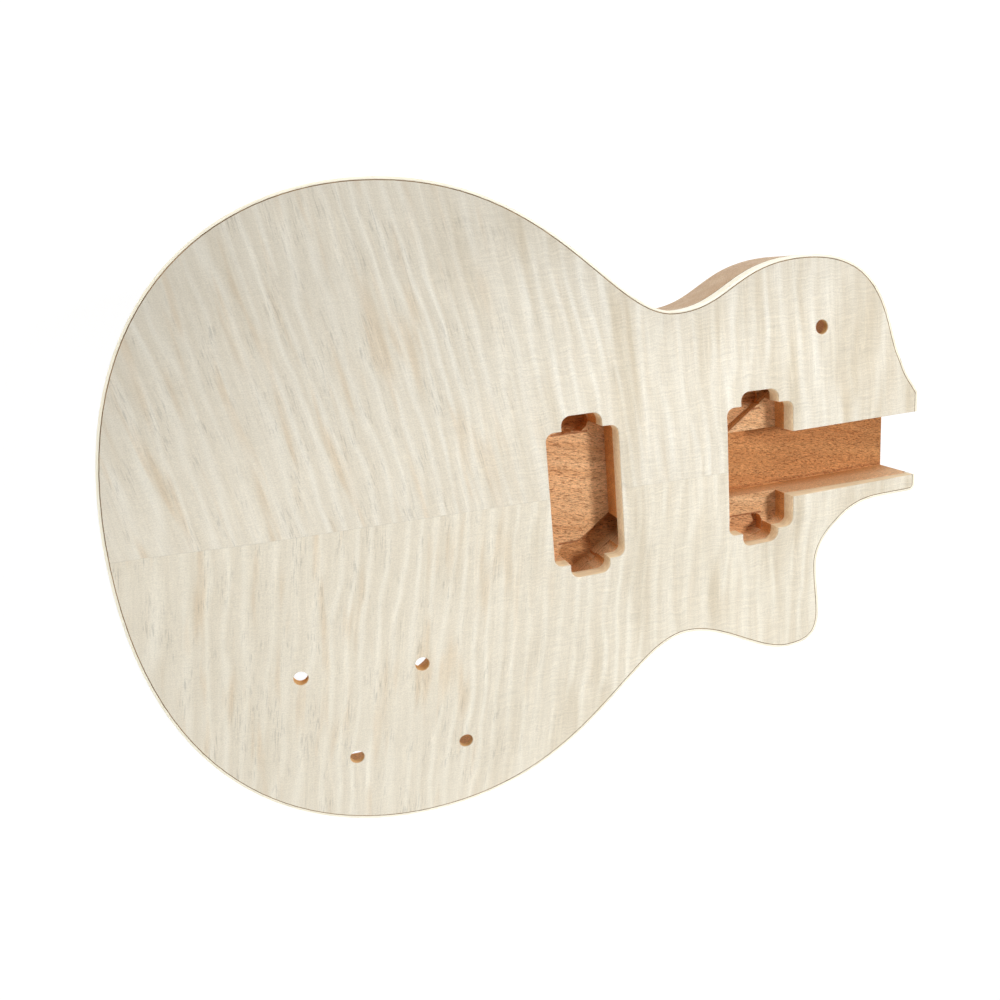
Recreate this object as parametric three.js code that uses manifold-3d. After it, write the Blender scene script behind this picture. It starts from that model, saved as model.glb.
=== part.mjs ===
// Bare electric guitar body: carved maple cap, figured veneer, mahogany back and cream edge binding.
// Millimetres. +X points to the neck, +Y to the bass side, +Z out of the face.
// The origin is under the middle of the body, on the plane of its flat back.
import * as THREE from "three";
import { mergeVertices } from "three/addons/utils/BufferGeometryUtils.js";
import Module from "manifold-3d";

const wasm = await Module();
wasm.setup();

// Overall sizes
const bodyLength = 442;
const rimHeight = 42;
const cutOverrun = 8;
const fitGap = 0.3;

// Outline of the lower bout, measured from the tail end and from the centre line
const lowerBoutFromTail = 137;
const lowerBoutHalf = 164.8;
const tailRound = 122.1;
const lowerBoutTailHandle = 66;
const lowerBoutWaistHandle = 94;

// Outline of the waist, the bass upper bout and the shoulder, measured from the neck end
const waistFromNeck = 148.8;
const waistNarrowing = 22;
const waistTailHandle = 35.3;
const bassWaistHandle = 30.4;
const bassBoutFromNeck = 74.2;
const bassBoutHalf = 112;
const bassBoutTailHandle = 40.2;
const bassBoutNeckHandle = 42.2;
const shoulderFromNeck = 17;
const shoulderHalf = 65.2;
const shoulderSlope = 3.32;
const shoulderUpperHandle = 21.8;
const shoulderLowerHandle = 27.1;
const neckCornerHalf = 30.2;
const neckCornerSlope = 1.52;
const neckCornerHandle = 14;

// Outline of the treble upper bout, the horn and the cutaway
const trebleWaistHandle = 23.5;
const trebleBoutFromNeck = 84.4;
const trebleBoutHalf = 111.7;
const trebleBoutTailHandle = 19.7;
const trebleBoutHornHandle = 15.6;
const hornFromNeck = 63.8;
const hornHalf = 92.7;
const hornBoutHandle = 12.8;
const hornCutHandle = 11.8;
const cutawayFromNeck = 65.4;
const cutawayHalf = 63.8;
const cutawayHornHandle = 13.7;
const cutawayNeckHandle = 13.1;
const tongueFromNeck = 24.8;
const tongueHalf = 28;
const tongueHandle = 31.1;
const tongueTipRadius = 3.5;
const stepsPerCurve = 8;

// Layers through the thickness
const capBottomHeight = 37.1;
const veneerThickness = 0.6;
const bindingWidth = 1.35;
const bindingHeight = 7.2;
const backRoundover = 6.5;
const roundoverSteps = 3;
const roundoverFadeLength = 60;

// Back boards: the outer two are glued to the edges of the middle one
const centreBoardWidth = 120;

// The carved face
const archHeight = 4.7;
const flatRimWidth = 6;
const archRun = 69;
const neckPlaneLength = 80;
const neckPlaneEndRise = 0.5;
const neckZoneHalf = 24;
const neckZoneFade = 36;
const neckZoneFromNeck = 242;
const faceStep = 18;

// Pickup cavities
const bridgePickupFromNeck = 205.7;
const neckPickupFromNeck = 103.1;
const pickupLength = 40;
const pickupWidth = 72;
const pickupOverEars = 87.4;
const earLength = 22.5;
const pickupCornerRadius = 4.5;
const earCornerRadius = 5;
const earPocketInner = 30.5;
const bridgeFloorDepth = 17;
const bridgeEarPocketDepth = 8;
const neckFloorDepth = 14;
const neckEarPocketDepth = 6;

// Neck pocket
const pocketWidth = 37.4;
const pocketDepthAtPickup = 26.4;
const pocketDepthAtEnd = 29.7;

// Controls and their cavity, measured from the tail end and from the lower bout's treble side
const innerTailControlFromTail = 78.7;
const innerTailControlFromSide = 94;
const innerNeckControlFromTail = 140.3;
const innerNeckControlFromSide = 89.2;
const outerTailControlFromTail = 100.7;
const outerTailControlFromSide = 42.8;
const outerNeckControlFromTail = 159.3;
const outerNeckControlFromSide = 38.6;
const controlHoleDiameter = 7.5;
const controlLobeRadius = 20;
const innerNeckLobeFromTail = 134;
const innerNeckLobeFromSide = 86.1;
const controlMiddleFromTail = 59;
const controlMiddleLength = 78;
const controlMiddleInnerFromSide = 112.8;
const controlMiddleOuterFromSide = 21.8;
const controlMiddleRadius = 14;
const controlBandWidth = 33;

// Switch, wire way and output jack
const toggleFromNeck = 63.8;
const toggleFromSide = 38.8;
const toggleHoleDiameter = 7.8;
const toggleCavityRadius = 17;
const cavityCeilingHeight = 40;
const coverLedgeWidth = 4;
const coverLedgeDepth = 2.5;
const wireWayWidth = 12.7;
const wireWayFloorAtControls = 10.4;
const wireWayFloorAtToggle = 25.9;
const wireWayBassFromNeck = 65;
const wireWayBassFromToggle = 11.3;
const wireWayTrebleFromTail = 132;
const wireWayTrebleFromSide = 50.3;
const jackFromTail = 118;
const jackHoleDiameter = 22;
const jackHoleHeight = 19;
const roundSides = 24;

// Finishes
const veneerMaterial = { color: 0xf0e9d8, roughness: 0.62, metalness: 0 };
const capMaterial = { color: 0xdfc9a3, roughness: 0.75, metalness: 0 };
const backMaterial = { color: 0xc08455, roughness: 0.7, metalness: 0 };
const bindingMaterial = { color: 0xf6eed6, roughness: 0.4, metalness: 0 };

// Places worked out from the sizes above
const tailX = -bodyLength / 2;
const neckX = bodyLength / 2;
const waistX = neckX - waistFromNeck;
const waistHalf = bassBoutHalf - waistNarrowing;
const lowerBoutX = tailX + lowerBoutFromTail;
const bassBoutX = neckX - bassBoutFromNeck;
const shoulderX = neckX - shoulderFromNeck;
const trebleBoutX = neckX - trebleBoutFromNeck;
const hornX = neckX - hornFromNeck;
const cutawayX = neckX - cutawayFromNeck;
const tongueX = neckX - tongueFromNeck;
const bridgePickupX = neckX - bridgePickupFromNeck;
const neckPickupX = neckX - neckPickupFromNeck;
const toggleX = neckX - toggleFromNeck;
const toggleY = bassBoutHalf - toggleFromSide;
const pocketHalf = pocketWidth / 2;
const pocketStartX = neckPickupX - pickupLength / 2;
const ledgeInset = bindingWidth + fitGap;
const ledgeHeight = rimHeight - bindingHeight;
const crownHeight = rimHeight + archHeight;
const above = crownHeight + cutOverrun;
const controlPlaces = [
  { x: tailX + innerTailControlFromTail, y: innerTailControlFromSide - lowerBoutHalf },
  { x: tailX + innerNeckControlFromTail, y: innerNeckControlFromSide - lowerBoutHalf },
  { x: tailX + outerTailControlFromTail, y: outerTailControlFromSide - lowerBoutHalf },
  { x: tailX + outerNeckControlFromTail, y: outerNeckControlFromSide - lowerBoutHalf },
];
const lobePlaces = controlPlaces.with(1, {
  x: tailX + innerNeckLobeFromTail,
  y: innerNeckLobeFromSide - lowerBoutHalf,
});

// Solids from three.js geometry, and back again
function solidOf(geometry) {
  const bare = geometry.clone();
  bare.deleteAttribute("normal");
  bare.deleteAttribute("uv");
  const merged = mergeVertices(bare);
  return new wasm.Manifold(
    new wasm.Mesh({
      numProp: 3,
      vertProperties: merged.attributes.position.array,
      triVerts: new Uint32Array(merged.index.array),
    }),
  );
}

function meshOf(name, solid, finish) {
  const made = solid.getMesh();
  const geometry = new THREE.BufferGeometry();
  geometry.setAttribute("position", new THREE.BufferAttribute(made.vertProperties, 3));
  geometry.setIndex(new THREE.BufferAttribute(made.triVerts, 1));
  geometry.computeVertexNormals();
  const mesh = new THREE.Mesh(geometry, new THREE.MeshStandardMaterial(finish));
  mesh.name = name;
  return mesh;
}

// A closed wall through rings of equal point count, each ring at its own height, capped at both ends
function stack(rings) {
  const count = rings[0].points.length;
  const positions = [];
  const faces = [];
  for (const ring of rings) {
    for (const p of ring.points) positions.push(p.x, p.y, ring.z);
  }
  for (let r = 0; r + 1 < rings.length; r++) {
    for (let i = 0; i < count; i++) {
      const a = r * count + i;
      const b = r * count + ((i + 1) % count);
      faces.push(a, b, b + count, a, b + count, a + count);
    }
  }
  const last = (rings.length - 1) * count;
  for (const [a, b, c] of THREE.ShapeUtils.triangulateShape(rings[0].points, [])) {
    faces.push(a, c, b);
  }
  for (const [a, b, c] of THREE.ShapeUtils.triangulateShape(rings.at(-1).points, [])) {
    faces.push(last + a, last + b, last + c);
  }
  const geometry = new THREE.BufferGeometry();
  geometry.setAttribute("position", new THREE.Float32BufferAttribute(positions, 3));
  geometry.setIndex(faces);
  return solidOf(geometry);
}

function prism(points, bottom, top) {
  return stack([
    { z: bottom, points },
    { z: top, points },
  ]);
}

function block(xFrom, xTo, yFrom, yTo, zFrom, zTo) {
  const box = new THREE.BoxGeometry(xTo - xFrom, yTo - yFrom, zTo - zFrom);
  box.translate((xFrom + xTo) / 2, (yFrom + yTo) / 2, (zFrom + zTo) / 2);
  return solidOf(box);
}

function disc(x, y, radius, bottom, top) {
  const cylinder = new THREE.CylinderGeometry(radius, radius, top - bottom, roundSides);
  cylinder.rotateX(Math.PI / 2);
  cylinder.translate(x, y, (bottom + top) / 2);
  return solidOf(cylinder);
}

function roundedBlock(x, y, length, width, radius, bottom, top) {
  const shape = new THREE.Shape();
  const right = x + length / 2 - radius;
  const left = x - length / 2 + radius;
  const high = y + width / 2 - radius;
  const low = y - width / 2 + radius;
  shape.absarc(right, low, radius, -Math.PI / 2, 0);
  shape.absarc(right, high, radius, 0, Math.PI / 2);
  shape.absarc(left, high, radius, Math.PI / 2, Math.PI);
  shape.absarc(left, low, radius, Math.PI, (3 * Math.PI) / 2);
  const geometry = new THREE.ExtrudeGeometry(shape, {
    depth: top - bottom,
    bevelEnabled: false,
    curveSegments: stepsPerCurve / 2,
  });
  geometry.translate(0, 0, bottom);
  return solidOf(geometry);
}

// The outline of the face, anticlockwise seen from the front
function outlinePoints() {
  const path = new THREE.Path();
  const shoulderTilt = Math.hypot(1, shoulderSlope);
  const cornerTilt = Math.hypot(1, neckCornerSlope);
  path.moveTo(tailX, 0);
  path.bezierCurveTo(
    tailX, -tailRound,
    lowerBoutX - lowerBoutTailHandle, -lowerBoutHalf,
    lowerBoutX, -lowerBoutHalf,
  );
  path.bezierCurveTo(
    lowerBoutX + lowerBoutWaistHandle, -lowerBoutHalf,
    waistX - waistTailHandle, -waistHalf,
    waistX, -waistHalf,
  );
  path.bezierCurveTo(
    waistX + trebleWaistHandle, -waistHalf,
    trebleBoutX - trebleBoutTailHandle, -trebleBoutHalf,
    trebleBoutX, -trebleBoutHalf,
  );
  path.bezierCurveTo(
    trebleBoutX + trebleBoutHornHandle, -trebleBoutHalf,
    hornX, -hornHalf - hornBoutHandle,
    hornX, -hornHalf,
  );
  path.bezierCurveTo(
    hornX, -hornHalf + hornCutHandle,
    cutawayX, -cutawayHalf - cutawayHornHandle,
    cutawayX, -cutawayHalf,
  );
  path.bezierCurveTo(
    cutawayX, -cutawayHalf + cutawayNeckHandle,
    tongueX - tongueHandle, -tongueHalf,
    tongueX, -tongueHalf,
  );
  const tipX = neckX - tongueTipRadius;
  const tipY = -tongueHalf + tongueTipRadius;
  path.absarc(tipX, tipY, tongueTipRadius, -Math.PI / 2, 0);
  path.lineTo(neckX, neckCornerHalf);
  path.bezierCurveTo(
    neckX - neckCornerHandle / cornerTilt,
    neckCornerHalf + (neckCornerHandle * neckCornerSlope) / cornerTilt,
    shoulderX + shoulderLowerHandle / shoulderTilt,
    shoulderHalf - (shoulderLowerHandle * shoulderSlope) / shoulderTilt,
    shoulderX, shoulderHalf,
  );
  path.bezierCurveTo(
    shoulderX - shoulderUpperHandle / shoulderTilt,
    shoulderHalf + (shoulderUpperHandle * shoulderSlope) / shoulderTilt,
    bassBoutX + bassBoutNeckHandle, bassBoutHalf,
    bassBoutX, bassBoutHalf,
  );
  path.bezierCurveTo(
    bassBoutX - bassBoutTailHandle, bassBoutHalf,
    waistX + bassWaistHandle, waistHalf,
    waistX, waistHalf,
  );
  path.bezierCurveTo(
    waistX - waistTailHandle, waistHalf,
    lowerBoutX + lowerBoutWaistHandle, lowerBoutHalf,
    lowerBoutX, lowerBoutHalf,
  );
  path.bezierCurveTo(
    lowerBoutX - lowerBoutTailHandle, lowerBoutHalf,
    tailX, tailRound,
    tailX, 0,
  );
  const points = path.getPoints(stepsPerCurve);
  points.pop();
  return points;
}

const outline = outlinePoints();

// Moves every outline point inwards, by the given width times its own share
function inset(width, shareAt = () => 1) {
  const count = outline.length;
  return outline.map((point, i) => {
    const before = outline[(i + count - 1) % count];
    const after = outline[(i + 1) % count];
    const arriving = point.clone().sub(before).normalize();
    const leaving = after.clone().sub(point).normalize();
    const inward = new THREE.Vector2(-arriving.y - leaving.y, arriving.x + leaving.x).normalize();
    const mitre = inward.dot(new THREE.Vector2(-arriving.y, arriving.x));
    return point.clone().addScaledVector(inward, (width * shareAt(point)) / mitre);
  });
}

// The back edge's roundover fades out towards the neck end
function roundoverShare(point) {
  return THREE.MathUtils.smoothstep(neckX - point.x, 0, roundoverFadeLength);
}

// Height of the carved face above the flat back
function distanceToRim(x, y) {
  const place = new THREE.Vector3(x, y, 0);
  const nearest = new THREE.Vector3();
  let least = bodyLength;
  outline.forEach((point, i) => {
    const next = outline[(i + 1) % outline.length];
    const isNeckEnd = point.x + next.x >= 2 * neckX;
    if (isNeckEnd) return;
    const edge = new THREE.Line3(
      new THREE.Vector3(point.x, point.y, 0),
      new THREE.Vector3(next.x, next.y, 0),
    );
    edge.closestPointToPoint(place, true, nearest);
    least = Math.min(least, nearest.distanceTo(place));
  });
  return least;
}

function insideOutline(x, y) {
  let inside = false;
  outline.forEach((a, i) => {
    const b = outline[(i + 1) % outline.length];
    if (a.y > y !== b.y > y && x < a.x + ((b.x - a.x) * (y - a.y)) / (b.y - a.y)) inside = !inside;
  });
  return inside;
}

function faceHeight(x, y) {
  const depthIn = insideOutline(x, y) ? distanceToRim(x, y) : 0;
  const carved = THREE.MathUtils.smoothstep(depthIn, flatRimWidth, flatRimWidth + archRun);
  const beside = 1 - THREE.MathUtils.smoothstep(Math.abs(y), neckZoneHalf, neckZoneHalf + neckZoneFade);
  const neckward = THREE.MathUtils.smoothstep(x, neckX - neckZoneFromNeck, pocketStartX);
  const crown = archHeight * Math.max(carved, beside * neckward);
  const planeShare = Math.max(0, (neckX - x) / neckPlaneLength);
  const plane = neckPlaneEndRise + (archHeight - neckPlaneEndRise) * planeShare;
  return rimHeight + Math.min(crown, plane);
}

// A solid under the carved face lowered by the given depth
const faceColumns = 2 * Math.ceil((bodyLength / 2 + cutOverrun) / faceStep);
const faceRows = 2 * Math.ceil((lowerBoutHalf + cutOverrun) / faceStep);
const faceGrid = [];
for (let j = 0; j <= faceRows; j++) {
  for (let i = 0; i <= faceColumns; i++) {
    const x = (i - faceColumns / 2) * faceStep;
    const y = (j - faceRows / 2) * faceStep;
    faceGrid.push({ x, y, z: faceHeight(x, y) });
  }
}

function underFace(lowered, bottom) {
  const across = faceColumns + 1;
  const count = faceGrid.length;
  const positions = [];
  const faces = [];
  for (const p of faceGrid) positions.push(p.x, p.y, p.z - lowered);
  for (const p of faceGrid) positions.push(p.x, p.y, bottom);
  for (let j = 0; j < faceRows; j++) {
    for (let i = 0; i < faceColumns; i++) {
      const a = j * across + i;
      const c = a + across;
      faces.push(a, a + 1, c + 1, a, c + 1, c);
      faces.push(count + a, count + c + 1, count + a + 1, count + a, count + c, count + c + 1);
    }
  }
  const rim = [];
  for (let i = 0; i < faceColumns; i++) rim.push(i);
  for (let j = 0; j < faceRows; j++) rim.push(j * across + faceColumns);
  for (let i = faceColumns; i > 0; i--) rim.push(faceRows * across + i);
  for (let j = faceRows; j > 0; j--) rim.push(j * across);
  rim.forEach((a, k) => {
    const b = rim[(k + 1) % rim.length];
    faces.push(count + a, count + b, b, count + a, b, a);
  });
  const geometry = new THREE.BufferGeometry();
  geometry.setAttribute("position", new THREE.Float32BufferAttribute(positions, 3));
  geometry.setIndex(faces);
  return solidOf(geometry);
}

// Cavities and holes
function pickupCavity(x, floorDepth, pocketDepth) {
  const floor = rimHeight - floorDepth;
  const pocketFloor = floor - pocketDepth;
  const main = roundedBlock(x, 0, pickupLength, pickupWidth, pickupCornerRadius, floor, above);
  const ears = roundedBlock(x, 0, earLength, pickupOverEars, earCornerRadius, floor, above);
  const pocketSpan = pickupOverEars / 2 - earPocketInner;
  const pocketMiddle = (pickupOverEars / 2 + earPocketInner) / 2;
  let cavity = main.add(ears);
  for (const side of [-1, 1]) {
    const y = side * pocketMiddle;
    const pocket = roundedBlock(x, y, earLength, pocketSpan, earCornerRadius, pocketFloor, above);
    cavity = cavity.add(pocket);
  }
  return cavity;
}

function neckPocket() {
  const floorSlope = (pocketDepthAtEnd - pocketDepthAtPickup) / (neckX - pocketStartX);
  const shape = new THREE.Shape();
  shape.moveTo(pocketStartX, rimHeight - pocketDepthAtPickup);
  shape.lineTo(neckX + cutOverrun, rimHeight - pocketDepthAtEnd - floorSlope * cutOverrun);
  shape.lineTo(neckX + cutOverrun, above);
  shape.lineTo(pocketStartX, above);
  const geometry = new THREE.ExtrudeGeometry(shape, { depth: pocketWidth, bevelEnabled: false });
  geometry.rotateX(Math.PI / 2);
  geometry.translate(0, pocketHalf, 0);
  return solidOf(geometry);
}

function controlCavity(wider, bottom, top) {
  const width = controlMiddleInnerFromSide - controlMiddleOuterFromSide;
  const outerY = controlMiddleOuterFromSide - lowerBoutHalf;
  const startX = tailX + controlMiddleFromTail;
  const x = startX + controlMiddleLength / 2;
  const y = outerY + width / 2;
  const grown = 2 * wider;
  const radius = controlMiddleRadius + wider;
  const length = controlMiddleLength + grown;
  let cavity = roundedBlock(x, y, length, width + grown, radius, bottom, top);
  const bandFrom = startX + controlMiddleRadius - wider;
  const bandTo = controlPlaces.at(-1).x;
  const bandInner = outerY + controlBandWidth + wider;
  cavity = cavity.add(block(bandFrom, bandTo, outerY - wider, bandInner, bottom, top));
  for (const place of lobePlaces) {
    cavity = cavity.add(disc(place.x, place.y, controlLobeRadius + wider, bottom, top));
  }
  return cavity;
}

function toggleCavity(wider, bottom, top) {
  return disc(toggleX, toggleY, toggleCavityRadius + wider, bottom, top);
}

function backCavities() {
  const control = controlCavity(0, -cutOverrun, cavityCeilingHeight);
  const controlLedge = controlCavity(coverLedgeWidth, -cutOverrun, coverLedgeDepth);
  const toggle = toggleCavity(0, -cutOverrun, cavityCeilingHeight);
  const toggleLedge = toggleCavity(coverLedgeWidth, -cutOverrun, coverLedgeDepth);
  return control.add(controlLedge).add(toggle).add(toggleLedge);
}

function shaftHoles() {
  const radius = controlHoleDiameter / 2;
  const bottom = cavityCeilingHeight - cutOverrun;
  let holes = disc(toggleX, toggleY, toggleHoleDiameter / 2, bottom, above);
  for (const place of controlPlaces) {
    holes = holes.add(disc(place.x, place.y, radius, bottom, above));
  }
  return holes;
}

// The slanted channel for the wires, whose floor rises from the controls to the switch
function wireWay() {
  const fromX = tailX + wireWayTrebleFromTail;
  const toX = neckX - wireWayBassFromNeck;
  const from = new THREE.Vector2(fromX, wireWayTrebleFromSide - lowerBoutHalf);
  const to = new THREE.Vector2(toX, toggleY - wireWayBassFromToggle);
  const way = to.clone().sub(from);
  const shape = new THREE.Shape();
  shape.moveTo(0, wireWayFloorAtControls);
  shape.lineTo(way.length(), wireWayFloorAtToggle);
  shape.lineTo(way.length(), above);
  shape.lineTo(0, above);
  const geometry = new THREE.ExtrudeGeometry(shape, { depth: wireWayWidth, bevelEnabled: false });
  geometry.rotateX(Math.PI / 2);
  geometry.translate(0, wireWayWidth / 2, 0);
  geometry.rotateZ(way.angle());
  geometry.translate(from.x, from.y, 0);
  return solidOf(geometry);
}

function jackHole() {
  const reach = controlMiddleOuterFromSide + 2 * cutOverrun;
  const radius = jackHoleDiameter / 2;
  const y = controlMiddleOuterFromSide / 2 - lowerBoutHalf;
  const cylinder = new THREE.CylinderGeometry(radius, radius, reach, roundSides);
  cylinder.translate(tailX + jackFromTail, y, jackHoleHeight);
  return solidOf(cylinder);
}

// The cuts that each layer takes
const openCavities = pickupCavity(bridgePickupX, bridgeFloorDepth, bridgeEarPocketDepth)
  .add(pickupCavity(neckPickupX, neckFloorDepth, neckEarPocketDepth))
  .add(neckPocket());
const hiddenCavities = backCavities();
const holes = shaftHoles();

// Mahogany back: one shape, then three boards
function backShape() {
  const rings = [];
  for (let k = 0; k <= roundoverSteps; k++) {
    const angle = (Math.PI / 2) * (k / roundoverSteps);
    const width = backRoundover * (1 - Math.sin(angle));
    rings.push({ z: backRoundover * (1 - Math.cos(angle)), points: inset(width, roundoverShare) });
  }
  rings.push({ z: ledgeHeight, points: outline });
  rings.push({ z: ledgeHeight, points: inset(ledgeInset) });
  rings.push({ z: capBottomHeight, points: inset(ledgeInset) });
  return stack(rings);
}

function strip(yFrom, yTo) {
  return block(tailX - cutOverrun, neckX + cutOverrun, yFrom, yTo, -cutOverrun, above);
}

const sideReach = lowerBoutHalf + cutOverrun;
const back = backShape()
  .subtract(openCavities)
  .subtract(hiddenCavities)
  .subtract(wireWay())
  .subtract(jackHole());
const backBoards = {
  back_board_bass: back.intersect(strip(centreBoardWidth / 2, sideReach)),
  back_board_centre: back.intersect(strip(-centreBoardWidth / 2, centreBoardWidth / 2)),
  back_board_treble: back.intersect(strip(-sideReach, -centreBoardWidth / 2)),
};

// Maple cap: two boards under the veneer, joined on the centre line
const cap = prism(inset(ledgeInset), capBottomHeight, above)
  .intersect(underFace(veneerThickness + fitGap, 0))
  .subtract(openCavities)
  .subtract(hiddenCavities)
  .subtract(holes);
const capBoards = {
  cap_board_bass: cap.intersect(strip(0, sideReach)),
  cap_board_treble: cap.intersect(strip(-sideReach, 0)),
};

// Figured veneer: two leaves that meet on the centre line
const veneer = prism(inset(ledgeInset), capBottomHeight, above)
  .intersect(underFace(0, 0))
  .subtract(underFace(veneerThickness, -cutOverrun))
  .subtract(openCavities)
  .subtract(holes);
const veneerLeaves = {
  veneer_leaf_bass: veneer.intersect(strip(0, sideReach)),
  veneer_leaf_treble: veneer.intersect(strip(-sideReach, 0)),
};

// Edge binding: a strip round each side of the body, and a short one in the cutaway
const bindingRing = prism(outline, ledgeHeight, above)
  .subtract(prism(inset(bindingWidth), ledgeHeight - cutOverrun, above + cutOverrun))
  .intersect(underFace(0, 0))
  .subtract(neckPocket());
const hornY = -hornHalf;
const cutawayBlock = block(
  trebleBoutX,
  neckX + cutOverrun,
  hornY,
  0,
  ledgeHeight - cutOverrun,
  above + cutOverrun,
);
const bindingStrips = {
  binding_bass: bindingRing.intersect(strip(0, sideReach)),
  binding_treble: bindingRing.intersect(strip(-sideReach, 0)).subtract(cutawayBlock),
  binding_cutaway: bindingRing.intersect(cutawayBlock),
};

// The scene graph: one group for each layer of the body
function layer(solids, finish) {
  const group = new THREE.Group();
  for (const [name, solid] of Object.entries(solids)) group.add(meshOf(name, solid, finish));
  return group;
}

const guitarBody = new THREE.Group();
guitarBody.add(layer(backBoards, backMaterial));
guitarBody.add(layer(capBoards, capMaterial));
guitarBody.add(layer(veneerLeaves, veneerMaterial));
guitarBody.add(layer(bindingStrips, bindingMaterial));

export default guitarBody;
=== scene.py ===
import math

import bmesh
import bpy
import numpy as np
from bpy.props import FloatProperty, FloatVectorProperty, PointerProperty
from mathutils import Matrix, Vector


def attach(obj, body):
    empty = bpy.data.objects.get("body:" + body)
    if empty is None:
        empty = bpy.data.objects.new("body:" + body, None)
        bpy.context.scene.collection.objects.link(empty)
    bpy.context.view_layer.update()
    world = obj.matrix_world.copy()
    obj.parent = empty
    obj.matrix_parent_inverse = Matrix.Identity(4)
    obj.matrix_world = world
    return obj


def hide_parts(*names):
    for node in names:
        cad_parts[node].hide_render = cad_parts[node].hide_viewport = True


bl_info = {
    "name": "Bare electric guitar body",
    "version": (1, 0, 0),
    "blender": (4, 5, 0),
    "location": "3D View > Sidebar > Guitar Body",
    "description": "Models a bare carved guitar body, its cavities, its woods and a small studio",
    "category": "Add Mesh",
}

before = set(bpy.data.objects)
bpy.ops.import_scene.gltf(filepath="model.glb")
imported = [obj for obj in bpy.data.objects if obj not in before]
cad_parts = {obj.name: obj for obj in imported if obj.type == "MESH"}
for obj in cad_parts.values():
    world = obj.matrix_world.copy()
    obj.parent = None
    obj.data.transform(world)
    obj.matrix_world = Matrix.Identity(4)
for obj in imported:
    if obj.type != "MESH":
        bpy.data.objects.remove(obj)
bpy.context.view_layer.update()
MM = 0.001
OVERRUN = 10 * MM  # how far a cutter reaches past what it cuts
OVERLAP = 1 * MM  # how far two cutters that become one reach into each other
NEARLY = 0.05 * MM  # heights that differ by less are the same
TINY = 0.001 * MM  # allows for rounding
OFF_GRID = (0.37 * MM, 0.61 * MM)  # keeps the grid's lines off the cuts' straight sides
SAME_POINT = 0.3 * MM  # outline points that are closer become one
LONG_EDGE = 3 * MM  # a longer edge of an ear pocket is divided, so that it can wander
SHARP = 0.7  # an edge that turns more, in radians, is a sharp one
STRAIGHT = 0.0005  # an outline point that turns less, in radians, isn't needed
WHITE = (1.0, 1.0, 1.0, 1.0)
LEAST_TURN = 0.4  # keeps a sharp corner from moving more than 2.5 times what its sides move
TREBLE_TINT = (1.006, 0.998, 0.978)  # the treble leaf is a little warmer


def length(name, description, millimetres):
    return FloatProperty(name=name, description=description, default=millimetres * MM, unit="LENGTH")


def spot(name, description, *millimetres):
    """A place, or a size in two directions."""
    return FloatVectorProperty(
        name=name, description=description, size=len(millimetres),
        default=[value * MM for value in millimetres], unit="LENGTH",
    )


def direction(name, description, *parts):
    """Three shares of one step."""
    return FloatVectorProperty(name=name, description=description, size=len(parts), default=parts)


def ratio(name, description, default):
    """A plain number."""
    return FloatProperty(name=name, description=description, default=default)


def colour(name, description, red, green, blue):
    """A colour as it looks on the screen, from 0 to 255, kept in Blender's linear values."""
    shares = [channel / 255 for channel in (red, green, blue)]
    linear = [s / 12.92 if s <= 0.04045 else ((s + 0.055) / 1.055) ** 2.4 for s in shares]
    return FloatVectorProperty(
        name=name, description=description, default=linear, size=3, min=0.0, max=1.0, subtype="COLOR"
    )


class OutlineSizes(bpy.types.PropertyGroup):
    """The outline, measured from the tail end or the neck end and from the centre line."""

    body: length("Body length", "Tail end to neck end", 442)
    tail_round: length("Tail roundness", "How flat the tail end is", 122.1)
    lower_from_tail: length("Lower bout from tail", "Where the body is widest", 137)
    lower_half: length("Lower bout half width", "Half the widest width", 164.8)
    lower_round: spot("Lower bout roundness", "Towards the tail and the waist", 66, 94)
    waist_from_neck: length("Waist from neck", "Where the waist is narrowest", 148.8)
    waist_half: length("Waist half width", "Half the waist", 90)
    waist_round: spot("Waist roundness", "To the tail, the bass bout and the treble bout", 35.3, 30.4, 23.5)
    bass_from_neck: length("Bass bout from neck", "Where the bass upper bout is widest", 74.2)
    bass_half: length("Bass bout half width", "Width of the bass upper bout", 112)
    bass_round: spot("Bass bout roundness", "Towards the waist and the shoulder", 40.2, 42.2)
    shoulder_from_neck: length("Shoulder from neck", "Middle of the sloping shoulder", 17)
    shoulder_half: length("Shoulder half width", "Middle of the sloping shoulder", 65.2)
    shoulder_slope: ratio("Shoulder slope", "Fall of the shoulder for each step to the neck", 3.32)
    shoulder_round: spot("Shoulder roundness", "Above and below its middle", 21.8, 27.1)
    corner_half: length("Neck corner half width", "Bass corner of the neck end", 30.2)
    corner_slope: ratio("Neck corner slope", "Slope at the bass corner", 1.52)
    corner_round: length("Neck corner roundness", "Roundness at the bass corner", 14)
    treble_from_neck: length("Treble bout from neck", "Where the treble upper bout is widest", 84.4)
    treble_half: length("Treble bout half width", "Width of the treble upper bout", 111.7)
    treble_round: spot("Treble bout roundness", "Towards the waist and the horn", 19.7, 15.6)
    horn_from_neck: length("Horn from neck", "The horn's foremost point", 63.8)
    horn_half: length("Horn half width", "The horn's foremost point", 92.7)
    horn_round: spot("Horn roundness", "Towards the bout and the cutaway", 12.8, 11.8)
    cut_from_neck: length("Cutaway from neck", "The cutaway's deepest point", 65.4)
    cut_half: length("Cutaway half width", "The cutaway's deepest point", 63.8)
    cut_round: spot("Cutaway roundness", "Towards the horn and the neck", 13.7, 13.1)
    tongue_from_neck: length("Tongue length", "Straight strip beside the neck pocket", 24.8)
    tongue_half: length("Tongue half width", "Outer side of the strip", 28)
    tongue_round: length("Tongue roundness", "Roundness into the cutaway", 31.1)
    tongue_radius: length("Tongue tip radius", "Rounded tip of the strip", 3.5)


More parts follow.
